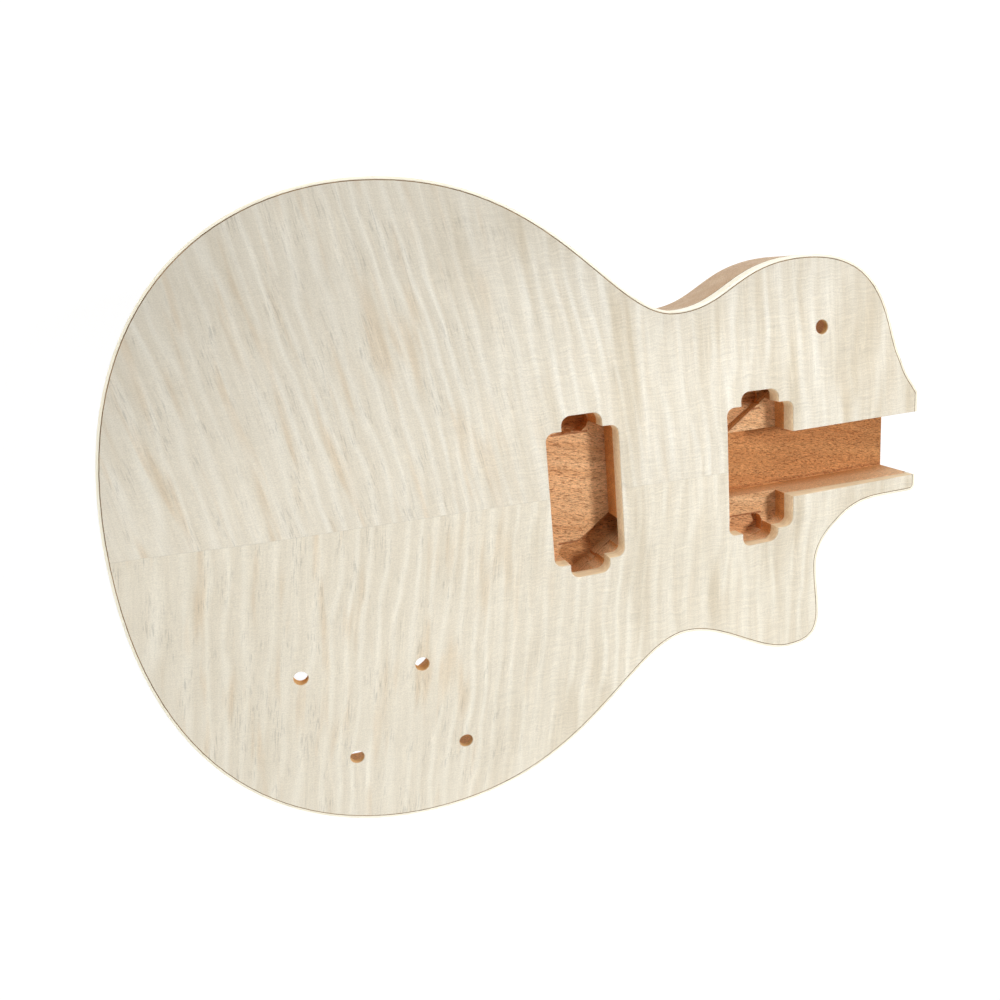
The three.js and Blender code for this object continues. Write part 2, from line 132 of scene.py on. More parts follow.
class LayerSizes(bpy.types.PropertyGroup):
    """The woods through the thickness, and the carve of the face."""

    rim: length("Rim height", "Thickness at the rim", 42)
    arch: length("Arch", "Rise of the crown over the rim", 4.7)
    flat_rim: length("Flat rim", "Width of the flat edge", 6)
    arch_run: length("Arch run", "Where the crown is reached", 69)
    plane_length: length("Neck plane length", "Length of the plane that falls to the neck", 80)
    plane_end: length("Neck plane end", "Rise left at the neck end", 0.5)
    zone_half: length("Neck zone half width", "Full crown beside the pocket", 24)
    zone_fade: length("Neck zone fade", "Fade beside the pocket", 36)
    zone_from_neck: length("Neck zone length", "Where the zone starts", 242)
    cap_bottom: length("Cap bottom", "Height of the joint under the cap", 37.1)
    veneer: length("Veneer", "Thickness of the figured leaves", 0.6)
    binding_width: length("Binding width", "Cream strip seen from the front", 1.35)
    binding_height: length("Binding height", "Cream strip seen from the side", 7.2)
    glue: length("Glue line", "Dark line beside and under the binding", 0.4)
    under_glue: length("Under line", "Dark line between the binding and the back", 0.8)
    roundover: length("Back roundover", "Radius at the back edge", 6.5)
    roundover_fade: length("Roundover fade", "Length over which it fades to the neck end", 60)
    sanded_edge: length("Sanded edge", "How far in the sanded outside of the back reaches", 7.5)
    centre_board: length("Middle board", "Width of the middle back board", 120)
    ledge_gap: length("Ledge gap", "Between the binding and the ledge that it sits on", 0.3)
    cap_gap: length("Cap gap", "Between the cap and the veneer", 0.1)
    seam: length("Seam", "How far the veneer's seam lies from the centre line", 1.7)
    seam_slope: ratio("Seam slope", "How much nearer the seam comes towards the neck", 0.005)
    binding_edge: length("Binding edge", "Rounding of its outer top edge", 0.3)
    binding_gap: length("Binding gap", "Half the gap where two strips meet", 0.04)
    glue_depth: length("Glue depth", "Height of the line between the binding and the veneer", 1)
    glue_sunk: length("Glue sunk", "How far the glue lies under the face", 0.04)
    glue_inset: length("Glue inset", "How far the glue under the binding lies inside its edge", 0.05)
    cap_grid: length("Cap grid", "Spacing of the faces that follow the carve", 6)
    veneer_grid: length("Veneer grid", "Spacing of the faces that follow the carve", 3.4)
    carve_reach: length("Carve reach", "How far under a flat top everything is lifted with it", 2)


class CavitySizes(bpy.types.PropertyGroup):
    """The cuts that are open at the face."""

    bridge_from_neck: length("Bridge pickup from neck", "Middle of its cavity", 205.7)
    neck_from_neck: length("Neck pickup from neck", "Middle of its cavity", 103.1)
    pickup_length: length("Cavity length", "Along the strings", 40)
    pickup_width: length("Cavity width", "Across the strings", 72)
    over_ears: length("Over the ears", "Width with both ears", 87.4)
    ear_length: length("Ear length", "Along the strings", 22.5)
    corner: length("Corner radius", "Router radius in the corners", 4.5)
    ear_corner: length("Ear radius", "Router radius in the ears", 5)
    ear_inner: length("Ear pocket start", "From the centre line", 30.5)
    bridge_depth: length("Bridge cavity depth", "Below the rim", 17)
    bridge_ears: length("Bridge ear pocket depth", "Below the cavity's floor", 8)
    neck_depth: length("Neck cavity depth", "Below the rim", 14)
    neck_ears: length("Neck ear pocket depth", "Below the cavity's floor", 6)
    ragged: length("Ragged edge", "How far the ear pockets' edges wander", 0.45)
    pocket_width: length("Neck pocket width", "Width of the tenon's slot", 37.4)
    pocket_start_depth: length("Pocket depth inside", "Below the rim, at its end wall", 26.4)
    pocket_end_depth: length("Pocket depth outside", "Below the rim, at the neck end", 29.7)
    lip: length("Lip", "Worn edge of the veneer round the cuts", 0.25)
    torn_half: length("Torn half", "Half the length of a torn edge at an ear pocket", 10.5)
    chip_inset: length("Chip inset", "How far the chips lie inside the neck pocket's side", 1.2)
    chip_height: length("Chip height", "Chips lie below this height", 16.4)


class ControlSizes(bpy.types.PropertyGroup):
    """The electronics cavities, their holes and the wire way."""

    first: spot("Inner tail control", "Place of the hole", -142.3, -70.8)
    second: spot("Inner neck control", "Place of the hole", -80.7, -75.6)
    third: spot("Outer tail control", "Place of the hole", -120.3, -122)
    fourth: spot("Outer neck control", "Place of the hole", -61.7, -126.2)
    switch: spot("Switch", "Place of the switch hole", 157.2, 73.2)
    hole: length("Control hole", "Diameter", 7.5)
    switch_hole: length("Switch hole", "Diameter", 7.8)
    lobe: length("Control lobe", "Radius of the cavity round a control", 20)
    second_lobe: spot("Inner neck lobe", "Place of its lobe", -87, -78.7)
    switch_cavity: length("Switch cavity", "Radius", 17)
    middle: spot("Control cavity", "Middle of its main part", -123, -97.5)
    middle_size: spot("Control cavity size", "Length and width of its main part", 78, 91)
    middle_radius: length("Control cavity radius", "Corners of its main part", 14)
    band: length("Outer band", "Width of the band beside the outer controls", 33)
    ceiling: length("Cavity ceiling", "Height above the back", 40)
    ledge: length("Cover ledge", "Width", 4)
    ledge_depth: length("Cover ledge depth", "Depth", 2.5)
    way_width: length("Wire way width", "Width of the slanted channel", 12.7)
    way_low: length("Wire way low end", "Floor's height at the controls", 10.4)
    way_high: length("Wire way high end", "Floor's height at the switch", 25.9)
    way_start: spot("Wire way start", "End in the control cavity", -89, -114.5)
    way_end: spot("Wire way end", "End in the switch cavity", 156, 61.9)
    jack: spot("Jack hole", "Place along the body and height", -103, 19)
    jack_hole: length("Jack hole diameter", "Diameter", 22)
    # Painted shade reaches this far round each drilled hole.
    hole_shade_radius: length("Scorch", "Radius of the scorched wood round a drilled hole", 5)


class Finishes(bpy.types.PropertyGroup):
    """The woods' and the binding's colours, and the painted light and shade on the woods."""

    face: colour("Veneer", "Pale wood between the flames", 243, 237, 222)
    flame: colour("Flame", "Darker flames of the veneer", 220, 208, 185)
    stain: colour("Stains", "What the veneer's darker patches are multiplied by", 245, 235, 223)
    cap: colour("Cap", "Plain maple of the cap", 252, 236, 202)
    cap_dark: colour("Cap grain", "Darker grain of the cap", 238, 216, 178)
    mahogany: colour("Mahogany", "The back's routed wood", 233, 188, 142)
    mahogany_dark: colour("Mahogany grain", "Darker bands of the routed wood", 216, 164, 116)
    pore: colour("Pores", "The back's open pores", 138, 74, 34)
    end_grain: colour("End grain", "What routed end grain is multiplied by", 255, 232, 196)
    # Painted light: a paler colour for routed walls that face the bass side.
    wall: colour("Clean wall", "Cleanly cut walls that face the bass side", 248, 210, 164)
    # Painted shade: multiplies the routed wood lowest down, more the lower it lies.
    depth_shade: colour("Deep wood", "What the deepest routed wood is multiplied by", 230, 206, 176)
    # Painted light: a paler, warmer colour for the routed wood of the electronics cavities.
    cavity_light: colour("Control cavity", "Routed wood of the electronics cavities", 246, 192, 138)
    # Painted shade: what the maple round the drilled holes is multiplied by.
    hole_shade: colour("Scorched maple", "What drilled maple is multiplied by", 252, 226, 190)
    sanded: colour("Sanded mahogany", "The outside of the back", 212, 186, 156)
    sanded_dark: colour("Sanded grain", "Darker bands of the outside", 199, 167, 135)
    binding: colour("Binding", "Cream strip", 249, 243, 224)
    glue: colour("Glue line", "Dark line of glue beside and under the binding", 122, 98, 70)
    floor: colour("Floor", "The studio floor", 235, 235, 235)


class StudioSettings(bpy.types.PropertyGroup):
    """Camera and lights."""

    camera_place: spot("Camera place", "Where the camera stands", -132.495, 117.926, 460.351)
    camera_right: direction("Camera right", "The picture's right", 0.96185719, -0.08801744, 0.25900517)
    camera_up: direction("Camera up", "The picture's top", 0.14877934, 0.96286085, -0.225308)
    lens: ratio("Lens", "Focal length in millimetres", 31.130)
    sensor: ratio("Sensor", "Width of the picture on the sensor in millimetres", 36)
    nearest_drawn: length("Nearest drawn", "What is nearer to the camera isn't drawn", 10)
    key_place: spot("Key light place", "Where the soft key light hangs", 610, 250, 1330)
    key_size: length("Key light size", "Diameter", 245)
    key_power: ratio("Key light power", "In watts", 12.7)
    treble_place: spot("Treble light place", "Where the broad weak treble light stands", 0, -750, 550)
    bass_place: spot("Bass light place", "Where the broad weak bass light stands", -50, 750, 650)
    side_size: length("Side light size", "Diameter of both weak lights", 500)
    treble_power: ratio("Treble light power", "In watts", 2.9)
    bass_power: ratio("Bass light power", "In watts", 1.8)
    low_fill: ratio("Low fill", "Strength of the light walls all round", 2.0)
    high_fill: ratio("High fill", "Strength of the light from above", 0.03)
    floor_drop: length("Floor drop", "How far below the hanging body the floor lies", 260)
    near_fill: ratio("Near fill", "How much lighter the walls on the tail and bass side are", 1.0)
    floor_size: length("Floor size", "Length and width", 8000)
    floor_dim: ratio("Floor in shadow", "Share of the light that the visible floor sends back", 0.22)
    floor_glow: ratio("Floor glow", "Strength of the visible floor's own white", 0.91)


GROUPS = {
    "gb_outline": OutlineSizes,
    "gb_layers": LayerSizes,
    "gb_cavities": CavitySizes,
    "gb_controls": ControlSizes,
    "gb_finishes": Finishes,
    "gb_studio": StudioSettings,
}


# Small modelling helpers

def activate(obj):
    bpy.ops.object.select_all(action="DESELECT")
    obj.select_set(True)
    bpy.context.view_layer.objects.active = obj


def start_edit(obj, mode="FACE"):
    activate(obj)
    bpy.ops.object.mode_set(mode="EDIT")
    bpy.ops.mesh.select_mode(type=mode)
    bpy.ops.mesh.select_all(action="DESELECT")


def end_edit():
    bpy.ops.object.mode_set(mode="OBJECT")


def pick(obj, kind, test):
    """Selects the faces, edges or vertices that pass a test, in edit mode."""
    mesh = bmesh.from_edit_mesh(obj.data)
    mesh.normal_update()
    parts = {"faces": mesh.faces, "edges": mesh.edges, "verts": mesh.verts}[kind]
    for part in parts:
        part.select_set(bool(test(part)))
    mesh.select_flush_mode()
    bmesh.update_edit_mesh(obj.data)


def raise_selection(height):
    bpy.ops.mesh.extrude_region_move(TRANSFORM_OT_translate={"value": (0, 0, height)})


def spread_selection(obj, amount):
    """Moves the rim of each selected level face outwards, by an amount that its place gives."""
    mesh = bmesh.from_edit_mesh(obj.data)
    moved = {}
    for face in (f for f in mesh.faces if f.select):
        up = math.copysign(1, face.normal.z)
        for loop in face.loops:
            before = (loop.vert.co - loop.link_loop_prev.vert.co).to_2d().normalized()
            after = (loop.link_loop_next.vert.co - loop.vert.co).to_2d().normalized()
            out = Vector((before.y + after.y, -before.x - after.x)).normalized() * up
            share = max(LEAST_TURN, abs(out.dot(Vector((before.y, -before.x)))))
            moved[loop.vert] = out.to_3d() * (amount(loop.vert.co) / share)
    for vert, shift in moved.items():
        vert.co += shift
    bmesh.update_edit_mesh(obj.data)


def settled(obj):
    """Takes the object's place, turn and scale into its mesh."""
    activate(obj)
    bpy.ops.object.transform_apply(location=True, rotation=True, scale=True)
    return obj


def tidy_normals(obj):
    start_edit(obj)
    bpy.ops.mesh.select_all(action="SELECT")
    bpy.ops.mesh.normals_make_consistent(inside=False)
    end_edit()


def boolean(obj, tool, operation="DIFFERENCE", keep_tool=False):
    activate(obj)
    bpy.ops.object.modifier_add(type="BOOLEAN")
    modifier = obj.modifiers[-1]
    modifier.operation = operation
    modifier.object = tool
    modifier.solver = "MANIFOLD"
    bpy.ops.object.modifier_apply(modifier=modifier.name)
    if not obj.data.polygons:
        raise RuntimeError("Nothing is left of " + obj.name)
    if not keep_tool:
        bpy.data.objects.remove(tool)
    return obj


def united(tools):
    whole = tools[0]
    for tool in tools[1:]:
        boolean(whole, tool, "UNION")
    return whole


def copy_of(obj, name):
    twin = obj.copy()
    twin.data = obj.data.copy()
    twin.name = name
    bpy.context.scene.collection.objects.link(twin)
    return twin


def bisected(obj, point, normal):
    """Keeps what lies behind a plane and closes the cut."""
    start_edit(obj)
    bpy.ops.mesh.select_all(action="SELECT")
    bpy.ops.mesh.bisect(
        plane_co=point, plane_no=normal, use_fill=True, clear_outer=True, threshold=1e-7
    )
    end_edit()
    return obj


def coordinates(obj):
    values = np.empty(len(obj.data.vertices) * 3)
    obj.data.vertices.foreach_get("co", values)
    return values.reshape(-1, 3)


def set_coordinates(obj, values):
    obj.data.vertices.foreach_set("co", values.astype(np.float32).ravel())
    obj.data.update()


# The outline

def point_along(x, y, before, after):
    """A curve point with its handles along the body: place, arriving handle, leaving handle."""
    return (x, y), (-before, 0), (after, 0)


def point_across(x, y, before, after):
    """A curve point with its handles across the body."""
    return (x, y), (0, -before), (0, after)


def outline_anchors(sizes, cavities):
    """Sixteen curve points round the body, from the tail along the treble side and back."""
    tail = -sizes.body / 2
    neck = sizes.body / 2
    waist = neck - sizes.waist_from_neck
    lower = tail + sizes.lower_from_tail
    shoulder = neck - sizes.shoulder_from_neck
    treble = neck - sizes.treble_from_neck
    tongue = neck - sizes.tongue_from_neck
    radius = sizes.tongue_radius
    pull = 4 * (math.sqrt(2) - 1) / 3 * radius
    pocket = cavities.pocket_width / 2
    third = 2 * pocket / 3
    strip = (neck - radius - tongue) / 3
    edge = (sizes.tongue_half - radius - pocket) / 3
    corner = (sizes.corner_half - pocket) / 3
    fall = Vector((1, -sizes.shoulder_slope)).normalized()
    rise = Vector((-1, sizes.corner_slope)).normalized() * sizes.corner_round
    upper = -fall * sizes.shoulder_round[0]
    below = fall * sizes.shoulder_round[1]
    lower_tail, lower_waist = sizes.lower_round
    waist_tail, waist_bass, waist_treble = sizes.waist_round
    bass_waist, bass_shoulder = sizes.bass_round
    return [
        point_across(tail, 0, -sizes.tail_round, -sizes.tail_round),
        point_along(lower, -sizes.lower_half, lower_tail, lower_waist),
        point_along(waist, -sizes.waist_half, waist_tail, waist_treble),
        point_along(treble, -sizes.treble_half, *sizes.treble_round),
        point_across(neck - sizes.horn_from_neck, -sizes.horn_half, *sizes.horn_round),
        point_across(neck - sizes.cut_from_neck, -sizes.cut_half, *sizes.cut_round),
        point_along(tongue, -sizes.tongue_half, sizes.tongue_round, strip),
        point_along(neck - radius, -sizes.tongue_half, strip, pull),
        point_across(neck, -sizes.tongue_half + radius, pull, edge),
        point_across(neck, -pocket, edge, third),
        point_across(neck, pocket, third, corner),
        ((neck, sizes.corner_half), (0, -corner), tuple(rise)),
        ((shoulder, sizes.shoulder_half), tuple(below), tuple(upper)),
        point_along(neck - sizes.bass_from_neck, sizes.bass_half, -bass_shoulder, -bass_waist),
        point_along(waist, sizes.waist_half, -waist_bass, -waist_tail),
        point_along(lower, sizes.lower_half, -lower_waist, -lower_tail),
    ]


def outline_polygon(scene, steps=40):
    """The same curve as points, for measuring distances."""
    anchors = outline_anchors(scene.gb_outline, scene.gb_cavities)
    share = np.linspace(0, 1, steps, endpoint=False)[:, None]
    rows = []
    for (here, _, leaving), (there, arriving, _) in zip(anchors, anchors[1:] + anchors[:1]):
        a, d = np.array(here), np.array(there)
        b, c = a + leaving, d + arriving
        rows.append(
            a * (1 - share) ** 3 + 3 * b * (1 - share) ** 2 * share
            + 3 * c * (1 - share) * share ** 2 + d * share ** 3
        )
    return np.vstack(rows)


def outline_face(scene, name):
    """The outline as one flat face at height zero."""
    anchors = outline_anchors(scene.gb_outline, scene.gb_cavities)
    bpy.ops.curve.primitive_bezier_circle_add(radius=scene.gb_outline.lower_half)
    obj = bpy.context.object
    obj.name = name
    bpy.ops.object.mode_set(mode="EDIT")
    bpy.ops.curve.select_all(action="SELECT")
    bpy.ops.curve.subdivide(number_cuts=3)
    bpy.ops.object.mode_set(mode="OBJECT")
    points = obj.data.splines[0].bezier_points
    if len(points) != len(anchors):
        raise RuntimeError("The outline curve has %d points" % len(points))
    for point, (place, arriving, leaving) in zip(points, anchors):
        point.handle_left_type = "FREE"
        point.handle_right_type = "FREE"
        point.co = (*place, 0)
        point.handle_left = (place[0] + arriving[0], place[1] + arriving[1], 0)
        point.handle_right = (place[0] + leaving[0], place[1] + leaving[1], 0)
    obj.data.resolution_u = 30
    activate(obj)
    bpy.ops.object.convert(target="MESH")
    obj = bpy.context.object
    start_edit(obj, "VERT")
    bpy.ops.mesh.select_all(action="SELECT")
    bpy.ops.mesh.remove_doubles(threshold=SAME_POINT)
    bpy.ops.mesh.edge_face_add()
    pick(obj, "verts", lambda vert: vert.calc_edge_angle(1) < STRAIGHT)
    bpy.ops.mesh.dissolve_verts()
    end_edit()
    if len(obj.data.polygons) != 1:
        raise RuntimeError("The outline didn't close")
    if obj.data.polygons[0].normal.z < 0:
        obj.data.flip_normals()
    return obj


def outline_slab(scene, name, inset, bottom, top):
    """A slab with the outline moved inwards."""
    obj = outline_face(scene, name)
    start_edit(obj)
    bpy.ops.mesh.select_all(action="SELECT")
    if inset:
        bpy.ops.mesh.inset(thickness=inset, use_even_offset=True)
        bpy.ops.mesh.select_all(action="INVERT")
        bpy.ops.mesh.delete(type="FACE")
        bpy.ops.mesh.select_all(action="SELECT")
    bpy.ops.transform.translate(value=(0, 0, bottom))
    raise_selection(top - bottom)
    end_edit()
    tidy_normals(obj)
    return obj


def gridded_slab(scene, spacing, bottom, top):
    """A flat slab with a fine even grid, a little larger than the body."""
    outline = scene.gb_outline
    span_x = outline.body + OVERRUN
    span_y = 2 * outline.lower_half + OVERRUN
    bpy.ops.mesh.primitive_grid_add(
        x_subdivisions=round(span_x / spacing), y_subdivisions=round(span_y / spacing),
        size=1, location=(*OFF_GRID, bottom),
    )
    obj = bpy.context.object
    obj.scale = (span_x, span_y, 1)
    settled(obj)
    start_edit(obj)
    bpy.ops.mesh.select_all(action="SELECT")
    raise_selection(top - bottom)
    end_edit()
    tidy_normals(obj)
    return obj


def outline_ring(scene, name, inset, width, bottom, top):
    """A strip of that width which follows the outline at an inset."""
    obj = outline_slab(scene, name, inset, bottom, top)
    hole = outline_slab(scene, name, inset + width, bottom - OVERRUN, top + OVERRUN)
    return boolean(obj, hole)


# The carved face

def smoothstep(value, low, high):
    share = np.clip((value - low) / (high - low), 0, 1)
    return share * share * (3 - 2 * share)


def distance_inside(scene, xy):
    """How far inside the outline each point lies, leaving out the straight neck end."""
    start = outline_polygon(scene)
    end = np.roll(start, -1, axis=0)
    neck = scene.gb_outline.body / 2
    at_neck = (start[:, 0] + end[:, 0]) > 2 * neck - TINY
    distance = np.full(len(xy), scene.gb_outline.body)
    inside = np.zeros(len(xy), bool)
    for (ax, ay), (bx, by), skip in zip(start, end, at_neck):
        crosses = (ay > xy[:, 1]) != (by > xy[:, 1])
        if ay != by:
            inside ^= crosses & (xy[:, 0] < ax + (bx - ax) * (xy[:, 1] - ay) / (by - ay))
        if skip:
            continue
        dx, dy = bx - ax, by - ay
        share = np.clip(((xy[:, 0] - ax) * dx + (xy[:, 1] - ay) * dy) / (dx * dx + dy * dy), 0, 1)
        distance = np.minimum(
            distance, np.hypot(xy[:, 0] - ax - share * dx, xy[:, 1] - ay - share * dy)
        )
    return np.where(inside, distance, 0)


def face_height(scene, xy):
    """The carved face: a crown inside a flat rim, cut by the plane that falls to the neck."""
    layers = scene.gb_layers
    neck = scene.gb_outline.body / 2
    pocket_start = neck - scene.gb_cavities.neck_from_neck - scene.gb_cavities.pickup_length / 2
    depth = distance_inside(scene, xy)
    carved = smoothstep(depth, layers.flat_rim, layers.flat_rim + layers.arch_run)
    beside = 1 - smoothstep(abs(xy[:, 1]), layers.zone_half, layers.zone_half + layers.zone_fade)
    neckward = smoothstep(xy[:, 0], neck - layers.zone_from_neck, pocket_start)
    crown = layers.arch * np.maximum(carved, beside * neckward)
    along = np.maximum(0, (neck - xy[:, 0]) / layers.plane_length)
    plane = layers.plane_end + (layers.arch - layers.plane_end) * along
    return layers.rim + np.minimum(crown, plane)


def carve(scene, obj, flat, depth=0.0):
    """Lifts everything about a flat height onto the carved face, less a depth."""
    values = coordinates(obj)
    chosen = values[:, 2] > flat - scene.gb_layers.carve_reach
    values[chosen, 2] += face_height(scene, values[chosen, :2]) - depth - flat
    set_coordinates(obj, values)


# Cutters

def rounded_block(x, y, size_x, size_y, radius, bottom, top):
    """A block whose upright edges are rounded."""
    bpy.ops.mesh.primitive_cube_add(size=1, location=(x, y, (bottom + top) / 2))
    obj = bpy.context.object
    obj.scale = (size_x, size_y, top - bottom)
    settled(obj)
    if radius:
        start_edit(obj, "EDGE")
        pick(obj, "edges", lambda edge: abs(edge.verts[0].co.z - edge.verts[1].co.z) > NEARLY)
        bpy.ops.mesh.bevel(offset=radius, segments=8, affect="EDGES")
        end_edit()
    return obj


def round_bar(place, radius, bottom, top, vertices=64):
    bpy.ops.mesh.primitive_cylinder_add(
        vertices=vertices, radius=radius, depth=top - bottom, location=(*place, (bottom + top) / 2)
    )
    return settled(bpy.context.object)


def ragged(obj, amount):
    """Lets a cutter's upright walls wander a little, as a hand-held router does."""
    start_edit(obj, "EDGE")
    pick(obj, "edges", lambda edge: (
        edge.calc_length() > LONG_EDGE and abs(edge.verts[0].co.z - edge.verts[1].co.z) < NEARLY
    ))
    bpy.ops.mesh.subdivide(number_cuts=11)
    end_edit()
    values = coordinates(obj)
    x, y = values[:, 0] / MM, values[:, 1] / MM
    values[:, 0] += amount * 0.5 * (np.sin(0.9 * y + 0.4) + np.sin(2.3 * y + 1.1))
    values[:, 1] += amount * 0.5 * (np.sin(0.7 * x + 2.0) + np.sin(1.9 * x + 0.3))
    set_coordinates(obj, values)
    return obj


def pickup_cutters(scene, x, depth, ear_depth, top):
    """A pickup cavity with an ear on each side, and a deeper pocket in each ear."""
    sizes = scene.gb_cavities
    floor = scene.gb_layers.rim - depth
    low = floor - ear_depth
    span = sizes.over_ears / 2 - sizes.ear_inner
    middle = (sizes.over_ears / 2 + sizes.ear_inner) / 2
    tools = [
        rounded_block(x, 0, sizes.pickup_length, sizes.pickup_width, sizes.corner, floor, top),
        rounded_block(x, 0, sizes.ear_length, sizes.over_ears, sizes.ear_corner, floor, top),
    ]
    for side in (-1, 1):
        pocket = rounded_block(
            x, side * middle, sizes.ear_length - 2 * sizes.ragged, span - 2 * sizes.ragged,
            sizes.ear_corner, low, floor + OVERLAP,
        )
        tools.append(ragged(pocket, sizes.ragged))
    return tools


def pocket_cutter(scene, top):
    """The neck pocket's slot, with a floor that falls to the neck end."""
    sizes = scene.gb_cavities
    neck = scene.gb_outline.body / 2
    start = neck - sizes.neck_from_neck - sizes.pickup_length / 2
    end = neck + OVERRUN
    rim = scene.gb_layers.rim
    high = rim - sizes.pocket_start_depth
    fall = (sizes.pocket_end_depth - sizes.pocket_start_depth) / (neck - start) * (end - start)
    obj = rounded_block((start + end) / 2, 0, end - start, sizes.pocket_width, 0, high, top)
    start_edit(obj, "VERT")
    pick(obj, "verts", lambda vert: vert.co.x > neck and vert.co.z < rim)
    bpy.ops.transform.translate(value=(0, 0, -fall))
    end_edit()
    return obj


def open_cutter(scene, top):
    """Everything that is open at the face but the drilled holes."""
    neck = scene.gb_outline.body / 2
    sizes = scene.gb_cavities
    bridge = pickup_cutters(
        scene, neck - sizes.bridge_from_neck, sizes.bridge_depth, sizes.bridge_ears, top
    )
    front = pickup_cutters(scene, neck - sizes.neck_from_neck, sizes.neck_depth, sizes.neck_ears, top)
    return united(bridge + front + [pocket_cutter(scene, top)])


def flare(obj, height, width):
    """Widens a cutter's top over the last bit below a height, which leaves a worn lip on the cut."""
    start_edit(obj)
    bpy.ops.mesh.select_all(action="SELECT")
    bpy.ops.mesh.bisect(
        plane_co=(0, 0, height - width), plane_no=(0, 0, 1), use_fill=True, clear_outer=True
    )
    pick(obj, "faces", lambda face: face.calc_center_median().z > height - width - TINY)
    bpy.ops.mesh.dissolve_faces()
    pick(obj, "faces", lambda face: face.calc_center_median().z > height - width - TINY)
    for outwards in (0.3, 0.7):
        raise_selection(width / 2)
        spread_selection(obj, lambda place: outwards * width)
    raise_selection(OVERRUN)
    end_edit()
    tidy_normals(obj)
    return obj


def hole_cutters(scene, bottom, top):
    sizes = scene.gb_controls
    tools = [round_bar(sizes.switch, sizes.switch_hole / 2, bottom, top)]
    for place in (sizes.first, sizes.second, sizes.third, sizes.fourth):
        tools.append(round_bar(place, sizes.hole / 2, bottom, top))
    return tools


def hidden_cutter(scene, wider, bottom, top):
    """The control and switch cavities, which are open at the back."""
    sizes = scene.gb_controls
    mid, size = sizes.middle, sizes.middle_size
    tools = [
        rounded_block(
            mid[0], mid[1], size[0] + 2 * wider, size[1] + 2 * wider,
            sizes.middle_radius + wider, bottom, top,
        )
    ]
    outer = mid[1] - size[1] / 2
    left = mid[0] - size[0] / 2 + sizes.middle_radius - wider
    right = sizes.fourth[0]
    y = outer + sizes.band / 2
    tools.append(
        rounded_block((left + right) / 2, y, right - left, sizes.band + 2 * wider, 0, bottom, top)
    )
    for place in (sizes.first, sizes.second_lobe, sizes.third, sizes.fourth):
        tools.append(round_bar(place, sizes.lobe + wider, bottom, top, 72))
    tools.append(round_bar(sizes.switch, sizes.switch_cavity + wider, bottom, top, 72))
    return united(tools)


def wire_cutter(scene, top):
    """The slanted wire way, whose floor rises to the switch."""
    sizes = scene.gb_controls
    start, end = Vector(sizes.way_start), Vector(sizes.way_end)
    span = end - start
    middle = (start + end) / 2
    obj = rounded_block(0, 0, span.length, sizes.way_width, 0, sizes.way_low, top)
    start_edit(obj, "VERT")
    pick(obj, "verts", lambda vert: vert.co.x > 0 and vert.co.z < sizes.way_high)
    bpy.ops.transform.translate(value=(0, 0, sizes.way_high - sizes.way_low))
    end_edit()
    obj.rotation_euler = (0, 0, math.atan2(span.y, span.x))
    obj.location = (middle.x, middle.y, 0)
    return settled(obj)


def jack_cutter(scene):
    sizes = scene.gb_controls
    inner = sizes.middle[1] - sizes.middle_size[1] / 2 + OVERRUN
    outer = -scene.gb_outline.lower_half - OVERRUN
    bpy.ops.mesh.primitive_cylinder_add(
        vertices=64, radius=sizes.jack_hole / 2, depth=inner - outer,
        location=(sizes.jack[0], (inner + outer) / 2, sizes.jack[1]), rotation=(math.pi / 2, 0, 0),
    )
    return settled(bpy.context.object)


# Materials

class Shade:
    """A value, place, colour or shader in a material, which plain sums and products can use."""

    def __init__(self, made, output=0):
        self.tree = made.id_data
        self.socket = made.outputs[output]

    def __add__(self, other):
        return calc("ADD", self, other)

    def __sub__(self, other):
        return calc("SUBTRACT", self, other)

    def __rsub__(self, other):
        return calc("SUBTRACT", other, self)

    def __mul__(self, other):
        return calc("MULTIPLY", self, other)

    def __truediv__(self, other):
        return calc("DIVIDE", self, other)

    def __lt__(self, other):
        return calc("LESS_THAN", self, other)

    def __abs__(self):
        return calc("ABSOLUTE", self)


def node(tree, kind, inputs=None, **settings):
    made = tree.nodes.new(kind)
    for key, value in settings.items():
        setattr(made, key, value)
    for key, value in (inputs or {}).items():
        if isinstance(value, Shade):
            tree.links.new(value.socket, made.inputs[key])
        else:
            made.inputs[key].default_value = value
    return made


def shaded(kind, inputs, output=0, **settings):
    """A node in the tree that its inputs come from."""
    tree = next(value.tree for value in inputs.values() if isinstance(value, Shade))
    return Shade(node(tree, kind, inputs, **settings), output)


def calc(operation, *values):
    return shaded("ShaderNodeMath", dict(enumerate(values)), operation=operation)


def vector_calc(operation, *values):
    return shaded("ShaderNodeVectorMath", dict(enumerate(values)), operation=operation)


def combined(x, y, z=0.0):
    return shaded("ShaderNodeCombineXYZ", {0: x, 1: y, 2: z})


def split_up(place):
    """The three numbers of a place or a direction."""
    made = node(place.tree, "ShaderNodeSeparateXYZ", {0: place})
    return [Shade(made, axis) for axis in range(3)]


def noise(place, detail=2.0, roughness=0.5):
    inputs = {"Vector": place, "Scale": 1.0, "Detail": detail, "Roughness": roughness}
    return shaded("ShaderNodeTexNoise", inputs, "Fac")


def stretched(place, x, y, z, offset=(0.0, 0.0, 0.0)):
    """A noise space in which one unit is that many millimetres each way."""
    return vector_calc("ADD", vector_calc("MULTIPLY", place, (1 / x, 1 / y, 1 / z)), offset)


def remap(value, low, high, to_low=0.0, to_high=1.0, smooth=False):
    inputs = {"Value": value, "From Min": low, "From Max": high, "To Min": to_low, "To Max": to_high}
    steps = "SMOOTHSTEP" if smooth else "LINEAR"
    return shaded("ShaderNodeMapRange", inputs, "Result", interpolation_type=steps)


def about_zero(value, amount):
    """A noise value from 0 to 1 made one from minus to plus the amount."""
    return remap(value, 0.0, 1.0, -amount, amount)


def wave(cycles, shift=0.0):
    """A sine of that many turns, from -1 to 1."""
    return calc("SINE", cycles * (2 * math.pi) + shift)


